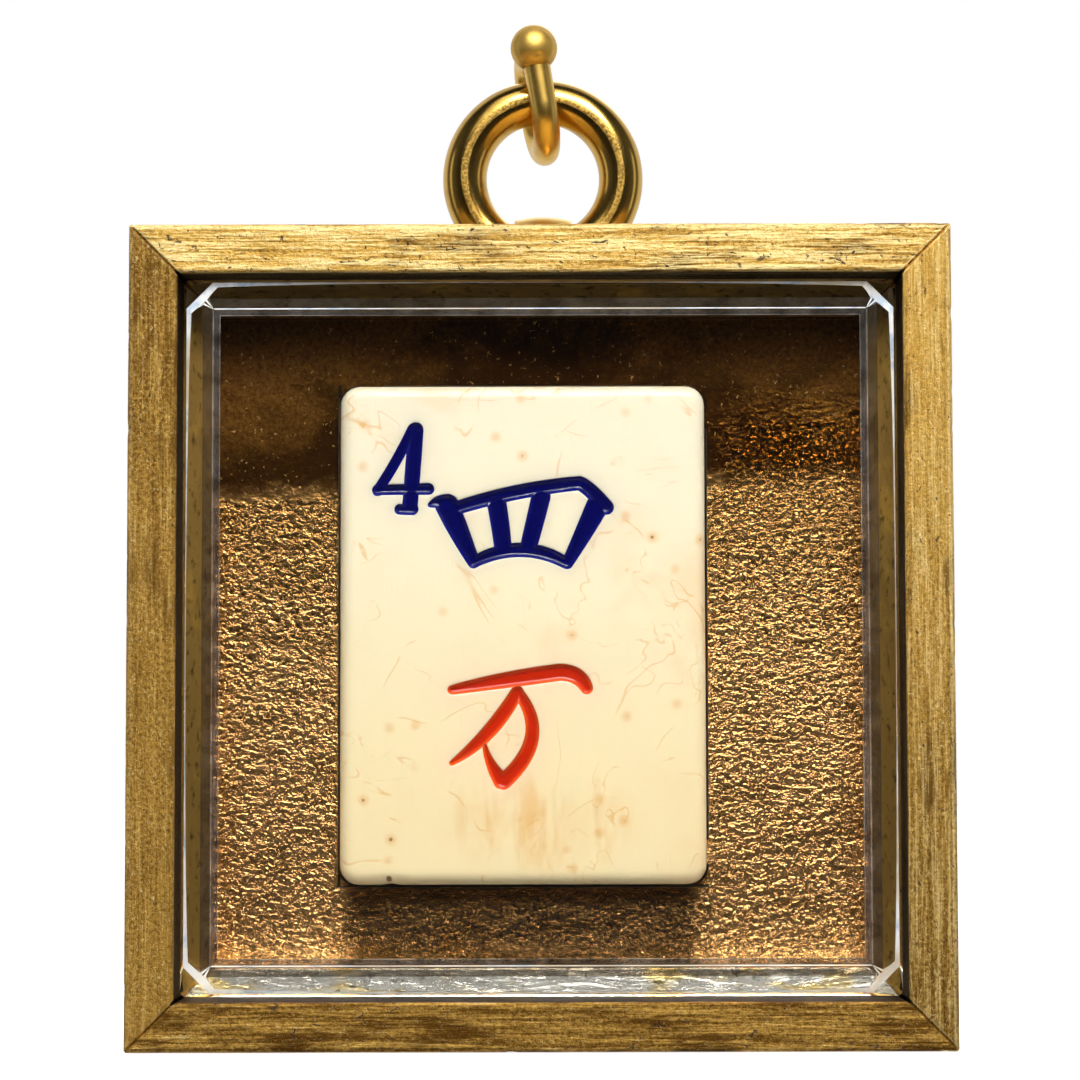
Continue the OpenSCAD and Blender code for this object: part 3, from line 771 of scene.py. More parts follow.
def rail_outline(near, far, front, back, arris, inner_arris, rebate, seat):
    """A rail's section as rows of across, depth, inward direction and a share of edge wear."""
    rows = []

    def straight(a, b, steps, inward, wear=0.0):
        for i in range(steps):
            t = i / steps
            rows.append((a[0] + (b[0] - a[0]) * t, a[1] + (b[1] - a[1]) * t, *inward, wear))

    def corner(centre, radius, start, steps=CORNER_STEPS):
        for i in range(steps):
            angle = math.radians(start + 90 * i / steps)
            way = (math.cos(angle), math.sin(angle))
            rows.append((centre[0] + radius * way[0], centre[1] + radius * way[1], -way[0], -way[1], 1.0))

    straight((near, back), (near, front + arris), OUTER_STEPS, (1, 0))
    corner((near + arris, front + arris), arris, 180)
    straight((near + arris, front), (far - inner_arris, front), FRONT_STEPS, (0, 1))
    corner((far - inner_arris, front + inner_arris), inner_arris, -90)
    straight((far, front + inner_arris), (far, seat), INNER_STEPS, (-1, 0))
    if rebate:
        straight((far, seat), (far - rebate, seat), REBATE_STEPS, (0, -1))
        straight((far - rebate, seat), (far - rebate, back), REBATE_STEPS, (-1, 0))
    straight((far - rebate, back), (near, back), BACK_STEPS, (0, -1))
    return rows


def quarter_turn(x, z, half, side):
    """A point of the bottom rail, turned to the left, the top or the right."""
    z -= half
    for _ in range(side):
        x, z = z, -x
    return x, z + half


def make_rail(name, side, outline, half, material, wear=1.0):
    """One mitred rail: its section along its length, with grain, nicks and a groove at each mitre.

    The stations along it lie closer together towards the ends, and closest beside the mitres.
    """
    look = settings().rails
    shares = [-math.cos(math.pi * (0.12 + 0.76 * i / RAIL_STEPS)) for i in range(RAIL_STEPS + 1)]
    shares = [s / shares[-1] for s in shares]
    mitre_step = 0.06 * MM
    ends = [1 - mitre_step / half * k for k in (1, 2.2, 4)]
    shares = sorted(set([s for s in shares if abs(s) < ends[-1]] + [-1, 1] + ends + [-e for e in ends]))
    round_length = [0.0]
    for (w0, d0, *_), (w1, d1, *_) in zip(outline, outline[1:]):
        round_length.append(round_length[-1] + math.hypot(w1 - w0, d1 - d0))
    front_start = round_length[OUTER_STEPS + CORNER_STEPS]
    round_length = [far - front_start for far in round_length]
    rows, grains = [], []
    for s in shares:
        row = []
        for (w, d, inward_w, inward_d, edge), across in zip(outline, round_length):
            along = s * (half - w)
            a, b = along / MM, across / MM
            grain = 0.5 + 0.5 * noise.noise((a * 0.13, b * 2.1, side * 9.7))
            fine = 0.5 + 0.5 * noise.noise((a * 0.9, b * 3.5, side * 5.1 + 40))
            shift = look.grain_depth * grain
            shift += look.grain_depth * 0.4 * fine
            nick = noise.noise((a * 0.85, edge * 3 + b * 0.25, side * 3.3 + 17)) - 0.30
            shift += edge * wear * look.nick_depth * max(0.0, nick)
            gap = (1 - abs(s)) * (half - w)
            shift += look.mitre_depth * math.exp(-((gap / look.mitre_width) ** 2))
            x, z = quarter_turn(along, w + inward_w * shift, half, side)
            row.append((x, d + inward_d * shift, z))
            grains.append((a, b, side * 23.0))
        rows.append(row)
    obj = solid(name, *loft(rows), material, angle=50)
    mark_grain(obj, grains)
    return obj


def mark_grain(obj, grains):
    """Keeps the way along and across a piece for its material."""
    kept = obj.data.attributes.new("grain", "FLOAT_VECTOR", "POINT")
    kept.data.foreach_set("vector", np.array(grains, np.float32).ravel())


def rounded_loop(w, h, r, steps=6, counts=(32, 44)):
    """A rounded rectangle as a loop of points in X and Z, with counts of steps along its sides."""
    points = []
    right, top = w / 2 - r, h / 2 - r
    reach = [(right, top), (-right, top), (-right, -top), (right, -top)]
    for k, (cx, cz) in enumerate(reach):
        points += arc(cx, cz, r, [math.pi / 2 * (k + i / steps) for i in range(steps + 1)])
        nx, nz = reach[(k + 1) % 4]
        start = points[-1]
        end = arc(nx, nz, r, [math.pi / 2 * (k + 1)])[0]
        count = counts[k % 2]
        points += [
            (start[0] + (end[0] - start[0]) * i / count, start[1] + (end[1] - start[1]) * i / count)
            for i in range(1, count)
        ]
    return points


STROKE_STEPS = 16
FIT_ROUNDS = 8
# The least half width of an outline, in millimetres.
THINNEST = 0.015


class Mark:
    """An engraved mark: strokes as lines of points with a half width at each."""

    def __init__(self, strokes, node):
        lo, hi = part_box(node)
        raw = []
        for a, b, c, widths in strokes:
            line = []
            for i in range(STROKE_STEPS + 1):
                t = i / STROKE_STEPS
                q = ((1 - t) ** 2, 2 * t * (1 - t), t * t)
                place = [sum(k * p[j] for k, p in zip(q, (a, b, c))) for j in (0, 1)]
                half_width = sum(k * p for k, p in zip(q, widths)) / 2
                line.append(place + [half_width])
            raw.append(np.array(line))
        self.lines = self.fit(raw, lo, hi)
        self.starts = np.concatenate([line[:-1] for line in self.lines])
        self.stops = np.concatenate([line[1:] for line in self.lines])

    @staticmethod
    def fit(raw, lo, hi):
        """Shares become millimetres so that the strokes' outlines fill the node's box.

        The strokes' widths follow the height, so the fit takes a few rounds.
        """
        across, up = (hi.x - lo.x) / MM, (hi.z - lo.z) / MM
        width, height = across, up
        for _ in range(FIT_ROUNDS):
            spread = [
                (line[:, 0] * width - line[:, 2] * height, line[:, 0] * width + line[:, 2] * height,
                 line[:, 1] * height - line[:, 2] * height, line[:, 1] * height + line[:, 2] * height)
                for line in raw
            ]
            x0 = min(s[0].min() for s in spread)
            x1 = max(s[1].max() for s in spread)
            z0 = min(s[2].min() for s in spread)
            z1 = max(s[3].max() for s in spread)
            width *= across / (x1 - x0)
            height *= up / (z1 - z0)
        lines = []
        for line in raw:
            placed = np.array(line)
            placed[:, 0] = line[:, 0] * width - x0 + lo.x / MM
            placed[:, 1] = line[:, 1] * height - z0 + lo.z / MM
            placed[:, 2] = line[:, 2] * height
            lines.append(placed)
        return lines

    def depth(self, points):
        """How far inside the mark each point lies, in millimetres, and negative outside it."""
        points = np.asarray(points, float)
        way = self.stops[:, :2] - self.starts[:, :2]
        rel = points[:, None, :] - self.starts[None, :, :2]
        t = np.clip((rel * way).sum(2) / (way * way).sum(1), 0, 1)
        gap = np.linalg.norm(rel - t[:, :, None] * way, axis=2)
        reach = self.starts[:, 2] + t * (self.stops[:, 2] - self.starts[:, 2])
        return (reach - gap).max(1)

    def outlines(self, grow):
        """Each stroke's outline, grown by that much."""
        loops = []
        for line in self.lines:
            way = np.gradient(line[:, :2], axis=0)
            way /= np.linalg.norm(way, axis=1)[:, None]
            left = np.stack([-way[:, 1], way[:, 0]], 1)
            reach = np.maximum(line[:, 2] + grow, THINNEST)
            if line[:, 2].max() + grow < 2 * THINNEST:
                continue
            one = line[:, :2] + left * reach[:, None]
            two = line[:, :2] - left * reach[:, None]
            loop = list(one)
            loop += self.cap(line[-1, :2], left[-1], reach[-1])
            loop += list(two[::-1])
            loop += self.cap(line[0, :2], -left[0], reach[0])
            loops.append(np.array(loop))
        return loops

    @staticmethod
    def cap(centre, way, reach, steps=7):
        angle = math.atan2(way[1], way[0])
        turns = [angle - math.pi * i / steps for i in range(1, steps)]
        return [centre + reach * np.array((math.cos(a), math.sin(a))) for a in turns]


def triangulate(points, loops, inside):
    """Triangles over points and closed loops, where a triangle's middle passes the test.

    Returns the points, the triangles and, for each point, the numbers of the points it stands for.
    """
    coords = [Vector(p) for p in points]
    edges = []
    for loop in loops:
        base = len(coords)
        coords += [Vector(p) for p in loop]
        edges += [(base + i, base + (i + 1) % len(loop)) for i in range(len(loop))]
    verts, _, faces, origin, _, _ = delaunay_2d_cdt(coords, edges, [], 0, 1e-5, True)
    flat = np.array([tuple(v) for v in verts])
    faces = np.array([tuple(f) for f in faces])
    middles = flat[faces].mean(1)
    return flat, faces[inside(middles)], origin


def bone_face_height(deep):
    """Height of the bone round and in a groove by the depth inside its outline, in millimetres."""
    cut = settings().tile.engraving / MM
    rim_width, rim_drop, wall_width = 0.07, 0.035, 0.035
    rim = np.clip((deep + rim_width) / rim_width, 0, 1)
    wall = np.clip(deep / wall_width, 0, 1)
    return -rim_drop * rim * rim - (cut - rim_drop) * wall


def paint_height(deep):
    """Height of the paint's hollow surface by the depth inside the outline, in millimetres."""
    reach, edge_drop, hollow = 0.34, 0.045, 0.25
    share_in = np.clip((deep + 0.01) / reach, 0, 1)
    return -edge_drop - hollow * (1 - (1 - share_in) ** 2)


def edges_once(faces):
    """The edges that only one face has, in that face's direction."""
    seen = {}
    for face in faces:
        for a, b in zip(face, np.roll(face, -1)):
            seen[(int(a), int(b))] = True
    return [(a, b) for a, b in seen if (b, a) not in seen]


def make_paint(name, mark, material, front_y):
    """Paint that fills an engraved mark, with a hollow front."""
    levels = (0.012, -0.05, -0.11, -0.18, -0.26, -0.34)
    loops = [loop for level in levels for loop in mark.outlines(level)]
    spine = np.concatenate([line[:, :2] for line in mark.lines])
    flat, faces, _ = triangulate(spine, loops, lambda mid: mark.depth(mid) > -0.016)
    used = np.unique(faces)
    index = {int(v): i for i, v in enumerate(used)}
    flat = flat[used]
    faces = [[index[int(v)] for v in face] for face in faces]
    top = paint_height(mark.depth(flat))
    wave = np.array([noise.noise((x * 1.7, 4.0, z * 1.7)) for x, z in flat])
    top += 0.018 * wave * (mark.depth(flat) > 0.02)
    base = -(settings().tile.engraving / MM) + 0.01
    verts = [(x * MM, front_y - t * MM, z * MM) for (x, z), t in zip(flat, top)]
    verts += [(x * MM, front_y - base * MM, z * MM) for x, z in flat]
    count = len(flat)
    solid_faces = [tuple(f) for f in faces] + [tuple(count + v for v in reversed(f)) for f in faces]
    solid_faces += [(b, a, count + a, count + b) for a, b in edges_once(np.array(faces))]
    obj = solid(name, verts, solid_faces, material, angle=60)
    pool = obj.data.attributes.new("pool", "FLOAT", "POINT")
    pool.data.foreach_set("value", np.tile(mark.depth(flat), 2).astype(np.float32))
    return obj


def marks():
    return [
        Mark(NUMERAL_STROKES, "numeral_paint"),
        Mark(UPPER_STROKES, "upper_mark_paint"),
        Mark(LOWER_STROKES, "lower_mark_paint"),
    ]


EDGE_STEPS = 7
# How far the chip in the lower edge lies left of the tile's middle, in millimetres.
CHIP_LEFT = 8.2


def make_tile_face(material):
    """The bone face: rounded edges, engraved marks, small dents and the dovetail behind."""
    look = settings().tile
    lo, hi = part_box("tile_face")
    middle = (lo + hi) / 2
    wide, high = hi.x - lo.x, hi.z - lo.z
    all_marks = marks()

    def deep(points):
        return np.max([m.depth(points) for m in all_marks], axis=0)

    rim = rounded_loop(wide - 2 * look.edge, high - 2 * look.edge, look.corner - look.edge)
    rim_mm = np.array(rim) / MM + np.array((middle.x, middle.z)) / MM
    x0, z0 = rim_mm.min(0)
    x1, z1 = rim_mm.max(0)
    step, first_gap, last_gap = 0.45, 0.35, 0.2
    columns = np.arange(x0 + first_gap, x1 - last_gap, step)
    lines = np.arange(z0 + first_gap, z1 - last_gap, step)
    grid = np.array([(x, z) for x in columns for z in lines])
    grid = grid[deep(grid) < -0.25]
    loops = [rim_mm] + [loop for m in all_marks for level in (0.5, 0.22, 0.07, 0.035, 0.0, -0.035)
                        for loop in m.outlines(level)]
    flat, faces, origin = triangulate(grid, loops, lambda mid: np.ones(len(mid), bool))
    heights = bone_face_height(deep(flat))
    at = {old: new for new, olds in enumerate(origin) for old in olds}
    rim_index = [at[len(grid) + i] for i in range(len(rim))]
    chip_x, chip_z = middle.x / MM - CHIP_LEFT, lo.z / MM + 0.25

    def worn(x, z):
        """Small waves of the surface and a chip in the lower left edge."""
        wave = 0.012 * (1 + noise.noise((x * 0.35, 2.0, z * 0.35))) * MM
        gap = math.hypot((x - chip_x) / 0.55, (z - chip_z) / 0.42)
        return wave + 0.22 * MM * max(0.0, 1 - gap * gap)

    verts = [(x * MM, lo.y + worn(x, z) - t * MM, z * MM) for (x, z), t in zip(flat, heights)]
    solid_faces = [tuple(int(v) for v in f) for f in faces]
    previous = rim_index
    levels = []
    for i in range(1, EDGE_STEPS + 1):
        turn = math.pi / 2 * i / EDGE_STEPS
        levels.append((look.edge * (1 - math.sin(turn)), look.edge * (1 - math.cos(turn))))
    levels.append((0.0, look.bone_thickness))
    for inset, down in levels:
        loop = rounded_loop(wide - 2 * inset, high - 2 * inset, look.corner - inset)
        fade = 1 - down / look.bone_thickness
        sideways = min(1, down / look.edge)
        row = []
        for x, z in loop:
            x, z = x + middle.x, z + middle.z
            push = worn(x / MM, z / MM)
            side = Vector((middle.x - x, 0, middle.z - z)).normalized() * push * fade * sideways
            row.append(len(verts))
            verts.append((x + side.x, lo.y + down + push * fade * (1 - sideways), z + side.z))
        count = len(row)
        solid_faces += [
            (previous[i], previous[(i + 1) % count], row[(i + 1) % count], row[i]) for i in range(count)
        ]
        previous = row
    solid_faces.append(tuple(previous))
    tail_y = lo.y + look.bone_thickness
    inset = 0.02 * MM
    tail = [(-look.tail_root / 2, tail_y - inset), (look.tail_root / 2, tail_y - inset),
            (look.tail_end / 2, hi.y), (-look.tail_end / 2, hi.y)]
    tail_verts, tail_faces = loft(
        [[(middle.x + x, y, z) for x, y in tail] for z in (lo.z + inset, hi.z - inset)]
    )
    base = len(verts)
    verts += tail_verts
    solid_faces += [tuple(base + v for v in face) for face in tail_faces]
    obj = solid("bone_face", verts, solid_faces, material, angle=40)
    # Falloff outside the marks: red paint that bled in, and round the blue marks bled paint with painted
    # shade.
    bleed = np.zeros((len(verts), 3), np.float32)
    blue = np.maximum(all_marks[0].depth(flat), all_marks[1].depth(flat))
    bleed[:len(flat), 0] = np.exp(np.minimum(blue, 0.0) / 0.4)
    bleed[:len(flat), 1] = np.exp(np.minimum(all_marks[2].depth(flat), 0.0) / 0.6)
    obj.data.attributes.new("bleed", "FLOAT_VECTOR", "POINT").data.foreach_set("vector", bleed.ravel())
    return obj


# Places of the pane's materials; the third is the stroke of painted reflection.
CLEAR, CREST, PAINTED_STROKE, LINE, HAZE = range(5)


def make_glass(clear, crest, ground, line, haze):
    """The bevelled pane: a hazy crest, a stroke of painted reflection that widens at the cut corners,
    polished sides.
    """
    look = settings().glass
    lo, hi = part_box("bevelled_glass")
    middle = (lo + hi) / 2
    side, deep = hi.x - lo.x, hi.y - lo.y
    bend, count = 6, 24
    per_side = bend + count
    inner = look.bevel - 0.1 * MM
    outer = inner - look.crest_line
    stroke_in = look.edge + look.stroke
    crest_slope, haze_slope = 0.06, 0.1
    crest_down = look.crest * crest_slope
    haze_down = crest_down + look.haze * haze_slope
    low = haze_down + (outer - look.haze - stroke_in) * look.fall
    sharp = 0.05 * MM

    def loop(inset, down, corner, swell=0.0):
        plain = rounded_loop(side - 2 * inset, side - 2 * inset, corner, bend, (count, count))
        points = []
        for i, (x, z) in enumerate(plain):
            more = swell * math.exp(-(side / 2 - min(abs(x), abs(z))) / look.swell_reach)
            wide = side - 2 * (inset + more)
            bent = rounded_loop(wide, wide, corner, bend, (count, count))
            x, z = bent[i]
            step = i % per_side
            if swell and step < bend:
                first, last = bent[i - step], bent[i - step + bend]
                x, z = (a + (b - a) * step / bend for a, b in zip(first, last))
            points.append((middle.x + x, lo.y + down - more * look.fall, middle.z + z))
        return points

    rows = [
        loop(inner + look.crest + 0.04 * MM, 0.0, sharp),
        loop(inner + look.crest, 0.003 * MM, sharp),
        loop(inner, crest_down, sharp),
        loop(outer, crest_down + 0.008 * MM, sharp),
        loop(outer - look.haze, haze_down, 0.5 * MM),
        loop(stroke_in, low, look.cut_corner, look.swell),
        loop(look.edge, low + 0.1 * MM, look.cut_corner, 0.001 * MM),
        loop(0.0, look.drop + 0.1 * MM, look.corner),
        loop(0.0, deep - 0.2 * MM, look.corner),
        loop(0.2 * MM, deep, look.corner),
    ]
    pane = solid("bevelled_pane", *loft(rows), clear, angle=3)
    for more in (crest, ground, line, haze):
        pane.data.materials.append(more)
    # The stroke of painted reflection takes band 5, band 2 along the top and bottom, and small wedges at
    # the corners.
    wedge = {1: LINE, 2: PAINTED_STROKE, 4: PAINTED_STROKE}
    for face in pane.data.polygons:
        band, place = divmod(face.index, 4 * per_side)
        turn, step = divmod(place, per_side)
        upright = turn % 2
        corner = step < bend
        kinds = {
            0: LINE, 1: CREST, 2: LINE if upright or corner else PAINTED_STROKE,
            3: wedge.get(step, HAZE), 4: wedge.get(step, CLEAR), 5: PAINTED_STROKE,
        }
        face.material_index = kinds.get(band, CLEAR)
    return pane


def near_corner(x, z, corners, reach):
    return any(abs(x - cx) <= reach and abs(z - cz) <= reach for cx, cz, *_ in corners)


def make_leaf(material):
    """The bronze leaf: a creased sheet with a window for the tile."""
    look = settings().tile
    lo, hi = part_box("leaf_sheet")
    tile_lo, tile_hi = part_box("tile_back")
    gap = 0.2 * MM
    step = look.leaf_step

    def lines(*stops):
        """The mesh's lines from the first stop to the last, and which of them are the two between."""
        first, second, third = [
            np.linspace(p, q, max(2, round((q - p) / step) + 1)) for p, q in zip(stops, stops[1:])
        ]
        near = len(first) - 1
        return np.concatenate([first, second[1:], third[1:]]), near, near + len(second) - 1

    xs, left, right = lines(lo.x, tile_lo.x - gap, tile_hi.x + gap, hi.x)
    zs, under, over = lines(lo.z, tile_lo.z - gap, tile_hi.z + gap, hi.z)
    reach = look.corner + gap
    corners = [
        (x + sx * reach, z + sz * reach, sx, sz)
        for x, sx in ((xs[left], 1), (xs[right], -1)) for z, sz in ((zs[under], 1), (zs[over], -1))
    ]

    def rounded(x, z):
        """Moves a point in a corner of the window to the corner's arc, and says if it lay in the window."""
        for cx, cz, sx, sz in corners:
            if (x - cx) * sx < 0 and (z - cz) * sz < 0:
                far = math.hypot(x - cx, z - cz)
                if far < reach:
                    return cx + (x - cx) * reach / far, cz + (z - cz) * reach / far, True
                return x, z, False
        return x, z, xs[left] < x < xs[right] and zs[under] < z < zs[over]

    index, verts, front = {}, [], []
    for i in range(len(xs) - 1):
        for j in range(len(zs) - 1):
            around = ((i, j), (i + 1, j), (i + 1, j + 1), (i, j + 1))
            spots = [(p, q, *rounded(xs[p], zs[q])) for p, q in around]
            hollow = left <= i < right and under <= j < over
            inside = all(spot[4] for spot in spots)
            if hollow and (inside or not near_corner(xs[i], zs[j], corners, reach)):
                continue
            cell = []
            for p, q, x, z, _ in spots:
                if (p, q) not in index:
                    index[(p, q)] = len(verts)
                    verts.append((x, z))
                cell.append(index[(p, q)])
            front.append(tuple(cell))
    count = len(verts)
    points = []
    for x, z in verts:
        a, b = x / MM, z / MM
        bend = 0.6 * noise.noise((a * 0.5, 3.1, b * 0.5))
        fold = noise.noise((a * 1.1 + bend, 7.7, b * 1.5 - bend))
        fine = noise.noise((a * 2.0 + bend, 1.3, b * 2.6))
        soft = noise.noise((a * 0.12, 5.0, b * 0.12))
        down = 0.5 - 0.4 * fold - 0.25 * fine + 0.1 * soft
        points.append((x, lo.y + look.crinkle * min(1.0, max(0.0, down)), z))
    points += [(x, hi.y, z) for x, z in verts]
    back = [tuple(count + v for v in reversed(f)) for f in front]
    walls = [(b, a, count + a, count + b) for a, b in edges_once(np.array(front))]
    return solid("crinkled_leaf", points, front + back + walls, material, angle=70)


def new_tree(name, source, values, result):
    """An empty Geometry Nodes tree with named inputs. Returns its sheet and a wire for each input."""
    tree = bpy.data.node_groups.new(name, "GeometryNodeTree")
    sockets = [(source, "INPUT", "Geometry")]
    sockets += [(key, "INPUT", kind) for key, kind in values.items()]
    for key, way, kind in sockets + [(result, "OUTPUT", "Geometry")]:
        tree.interface.new_socket(key, in_out=way, socket_type="NodeSocket" + kind)
    sheet = Sheet(tree)
    given = sheet.add("NodeGroupInput").socket.node.outputs
    return sheet, [Wire(sheet, given[i]) for i in range(len(sockets))]


def wire_tree():
    """Geometry Nodes: a round wire along a path of edges, with an optional seam towards the front."""
    values = {
        "Radius": "Float", "Sides": "Int", "Seam Depth": "Float", "Seam Height": "Float", "Wave": "Float",
        "Finish": "Material",
    }
    g, given = new_tree("bent_wire", "Path", values, "Wire")
    path, radius, sides, seam_depth, seam_height, wave, finish = given
    curve = g.add("GeometryNodeMeshToCurve", {"Mesh": path})
    profile = g.add("GeometryNodeCurvePrimitiveCircle", {"Resolution": sides, "Radius": radius})
    tube = g.add("GeometryNodeCurveToMesh", {"Curve": curve, "Profile Curve": profile, "Fill Caps": True})
    place = g.add("GeometryNodeInputPosition")
    away = g.add("GeometryNodeInputNormal")
    rough = g.noise(place, 900.0)
    near = 1.0 - (g.parts(place)[1] - seam_depth).step(0.0, 0.03 * MM)
    lift = near * seam_height * (rough - 0.25) - wave * g.noise(place, 320.0)
    offset = g.add("ShaderNodeVectorMath", {0: away, "Scale": lift}, {"operation": "SCALE"})
    moved = g.add("GeometryNodeSetPosition", {"Geometry": tube, "Offset": offset})
    shaded = g.add("GeometryNodeSetShadeSmooth", {"Geometry": moved})
    real = g.add("GeometryNodeRealizeInstances", {"Geometry": shaded})
    done = g.add("GeometryNodeSetMaterial", {"Geometry": real, "Material": finish})
    g.add("NodeGroupOutput", {"Wire": done})
    return g.tree


def nail_tree():
    """Geometry Nodes: a nail with a low cone head on each point, pointing along Y, turned at random about
    its length.
    """
    values = {
        "Shank Radius": "Float", "Shank Length": "Float", "Head Radius": "Float", "Head Height": "Float",
        "Seed": "Int", "Finish": "Material",
    }
    g, given = new_tree("back_nail", "Points", values, "Nails")
    points, shank_r, shank_l, head_r, head_h, seed, finish = given

    def cone(sides, top, bottom, depth, **moves):
        shape = g.add("GeometryNodeMeshCone", {
            "Vertices": sides, "Radius Top": top, "Radius Bottom": bottom, "Depth": depth})
        return g.add("GeometryNodeTransform", {"Geometry": shape, **moves})

    inwards, outwards = (math.pi / 2, 0, 0), (-math.pi / 2, 0, 0)
    shank = cone(20, shank_r * 0.3, shank_r, shank_l, Rotation=inwards)
    rim = cone(28, head_r, head_r * 0.93, head_h * 0.55, Rotation=outwards)
    cap_place = g.add("ShaderNodeCombineXYZ", {"Y": head_h * 0.55})
    cap = cone(28, head_r * 0.72, head_r, head_h * 0.45, Translation=cap_place, Rotation=outwards)
    join = g.add("GeometryNodeJoinGeometry")
    for piece in (shank, rim, cap):
        g.tree.links.new(piece.socket, join.socket.node.inputs[0])
    turn = g.add("FunctionNodeRandomValue", {0: (0.0, 0.0, 0.0), 1: (0.0, TAU, 0.0), "Seed": seed},
                 {"data_type": "FLOAT_VECTOR"})
    placed = g.add("GeometryNodeInstanceOnPoints", {
        "Points": points, "Instance": join, "Rotation": turn})
    real = g.add("GeometryNodeRealizeInstances", {"Geometry": placed})
    merged = g.add("GeometryNodeMergeByDistance", {"Geometry": real, "Distance": 0.001 * MM})
    done = g.add("GeometryNodeSetMaterial", {"Geometry": merged, "Material": finish})
    g.add("NodeGroupOutput", {"Nails": done})
    return g.tree


def bake(obj, modifier):
    """Keeps what a modifier makes as the object's own mesh, without the modifier."""
    view = bpy.context.evaluated_depsgraph_get()
    mesh = bpy.data.meshes.new_from_object(obj.evaluated_get(view), depsgraph=view)
    obj.modifiers.remove(modifier)
    obj.data = mesh
    return mesh


def grow_piece(name, points, edges, tree, material, **inputs):
    """Runs a Geometry Nodes tree over points and edges and keeps the result as a plain mesh."""
    start = bpy.data.meshes.new(name)
    start.from_pydata(points, edges, [])
    obj = link(name, start)
    grown = obj.modifiers.new(name, "NODES")
    grown.node_group = tree
    inputs["finish"] = material
    for socket in tree.interface.items_tree:
        key = socket.name.replace(" ", "_").lower()
        if socket.in_out == "INPUT" and key in inputs:
            grown[socket.identifier] = inputs[key]
    mesh = bake(obj, grown)
    face_outwards(mesh)
    smooth(mesh, 40)
    dress(mesh, material)
    if len(mesh.polygons) == 0:
        raise RuntimeError(f"{name} came out empty")
    return obj


def cut_away(obj, verts, faces):
    """Takes a closed shape out of a piece."""
    mesh = bpy.data.meshes.new("cutter")
    mesh.from_pydata(verts, [], faces)
    face_outwards(mesh)
    cutter = link("cutter", mesh)
    cut = obj.modifiers.new("cut", "BOOLEAN")
    cut.object = cutter
    cut.solver = "EXACT"
    result = bake(obj, cut)
    bpy.data.objects.remove(cutter)
    smooth(result, 40)


def round_bar(start, stop, radius, sides=32):
    """A plain bar between two points, for cuts."""
    way = (Vector(stop) - Vector(start)).normalized()
    across = way.orthogonal().normalized()
    other = way.cross(across)
    ways = [math.cos(t) * across + math.sin(t) * other for t in round_turns(sides)]
    return loft([[Vector(p) + radius * out for out in ways] for p in (start, stop)])


def ring_centre():
    lo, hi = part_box("hanging_ring")
    return (lo + hi) / 2, (hi.x - lo.x) / 2


def hook_place():
    """The hook's own frame: its origin is the middle of the ring's wire and its length runs up."""
    look = settings().hanger
    centre, outer = ring_centre()
    reach = outer - look.ring_wire / 2
    return (
        Matrix.Translation(centre)
        @ Matrix.Rotation(-look.hook_station, 4, "Y")
        @ Matrix.Translation((0, 0, reach))
        @ Matrix.Rotation(-look.hook_lean, 4, "Y")
        @ Matrix.Rotation(look.hook_yaw, 4, "Z")
    )


def lathe(profile, sides=48):
    """A turned shape round Y from rows of radius and place along Y."""
    return loft([[(x, y, z) for x, z in arc(0, 0, r, round_turns(sides))] for r, y in profile])


# Glow (painted light), wear, streaks, flecks, grit and fade (painted light towards one end) of each rail's
# gilding;
# the top and right rails are painted lighter than the left and the bottom.
GILT_LOOKS_AND_LIGHT = {
    "bottom": (-0.08, 0.035, 1.0, 0.3, 0.2, 0.0),
    "left": (0.05, 0.0, 0.25, 0.55, 0.75, 0.006),
    "top": (0.3, 0.055, 1.0, 0.35, 0.1, 0.003),
    "right": (0.2, 0.03, 0.6, 0.65, 0.45, 0.01),
}


class FRAMEDTILE_OT_rails(Operator):
    """Make the four gilt rails and the four fillets under the glass"""

    bl_idname = "framed_tile.rails"
    bl_label = "Gilt rails"

    def execute(self, context):
        look = settings().rails
        lo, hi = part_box("bottom_rail")
        half = hi.x
        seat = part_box("back_board")[0].y
        outline = rail_outline(0.0, hi.z, lo.y, hi.y, look.arris, look.inner_arris, look.rebate, seat)
        front = (hi.z - look.arris - look.inner_arris + math.pi / 2 * look.inner_arris) / MM
        inner = (front, front + (seat - lo.y) / MM, (half - look.arris) / MM)
        for side, name in enumerate(RAIL_NAMES):
            material = gilt_finish(f"gilt_{name}", inner, *GILT_LOOKS_AND_LIGHT[name])
            rail = make_rail(f"gilt_{name}_rail", side, outline, half, material)
            finish_piece(rail, "frame", "gilt_wood", f"{name}_rail")
        bed_lo, bed_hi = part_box("bottom_fillet")
        edge = look.fillet_arris
        bed = rail_outline(bed_lo.z, bed_hi.z, bed_lo.y + 0.03 * MM, bed_hi.y, edge, edge, 0.0, bed_hi.y)
        amber = fillet_finish("amber_gilding", tuple(look.amber_gold), tuple(look.gold), 0.24, 0.16 * MM)
        # Painted light: the bottom fillet, which faces the light from above, is the lit copy of the gilding
        # in pale silver; the others stay amber.
        painted_lit_silver = fillet_finish("silver_gilding", tuple(look.painted_lit_silver), tuple(look.pale_gold), 0.2, 0.3 * MM)
        for side, name in enumerate(RAIL_NAMES):
            material = painted_lit_silver if name == "bottom" else amber
            strip = make_rail(f"gilt_{name}_fillet", side, bed, half, material, wear=0.0)
            finish_piece(strip, "frame", "gilt_wood", f"{name}_fillet")
        return {"FINISHED"}


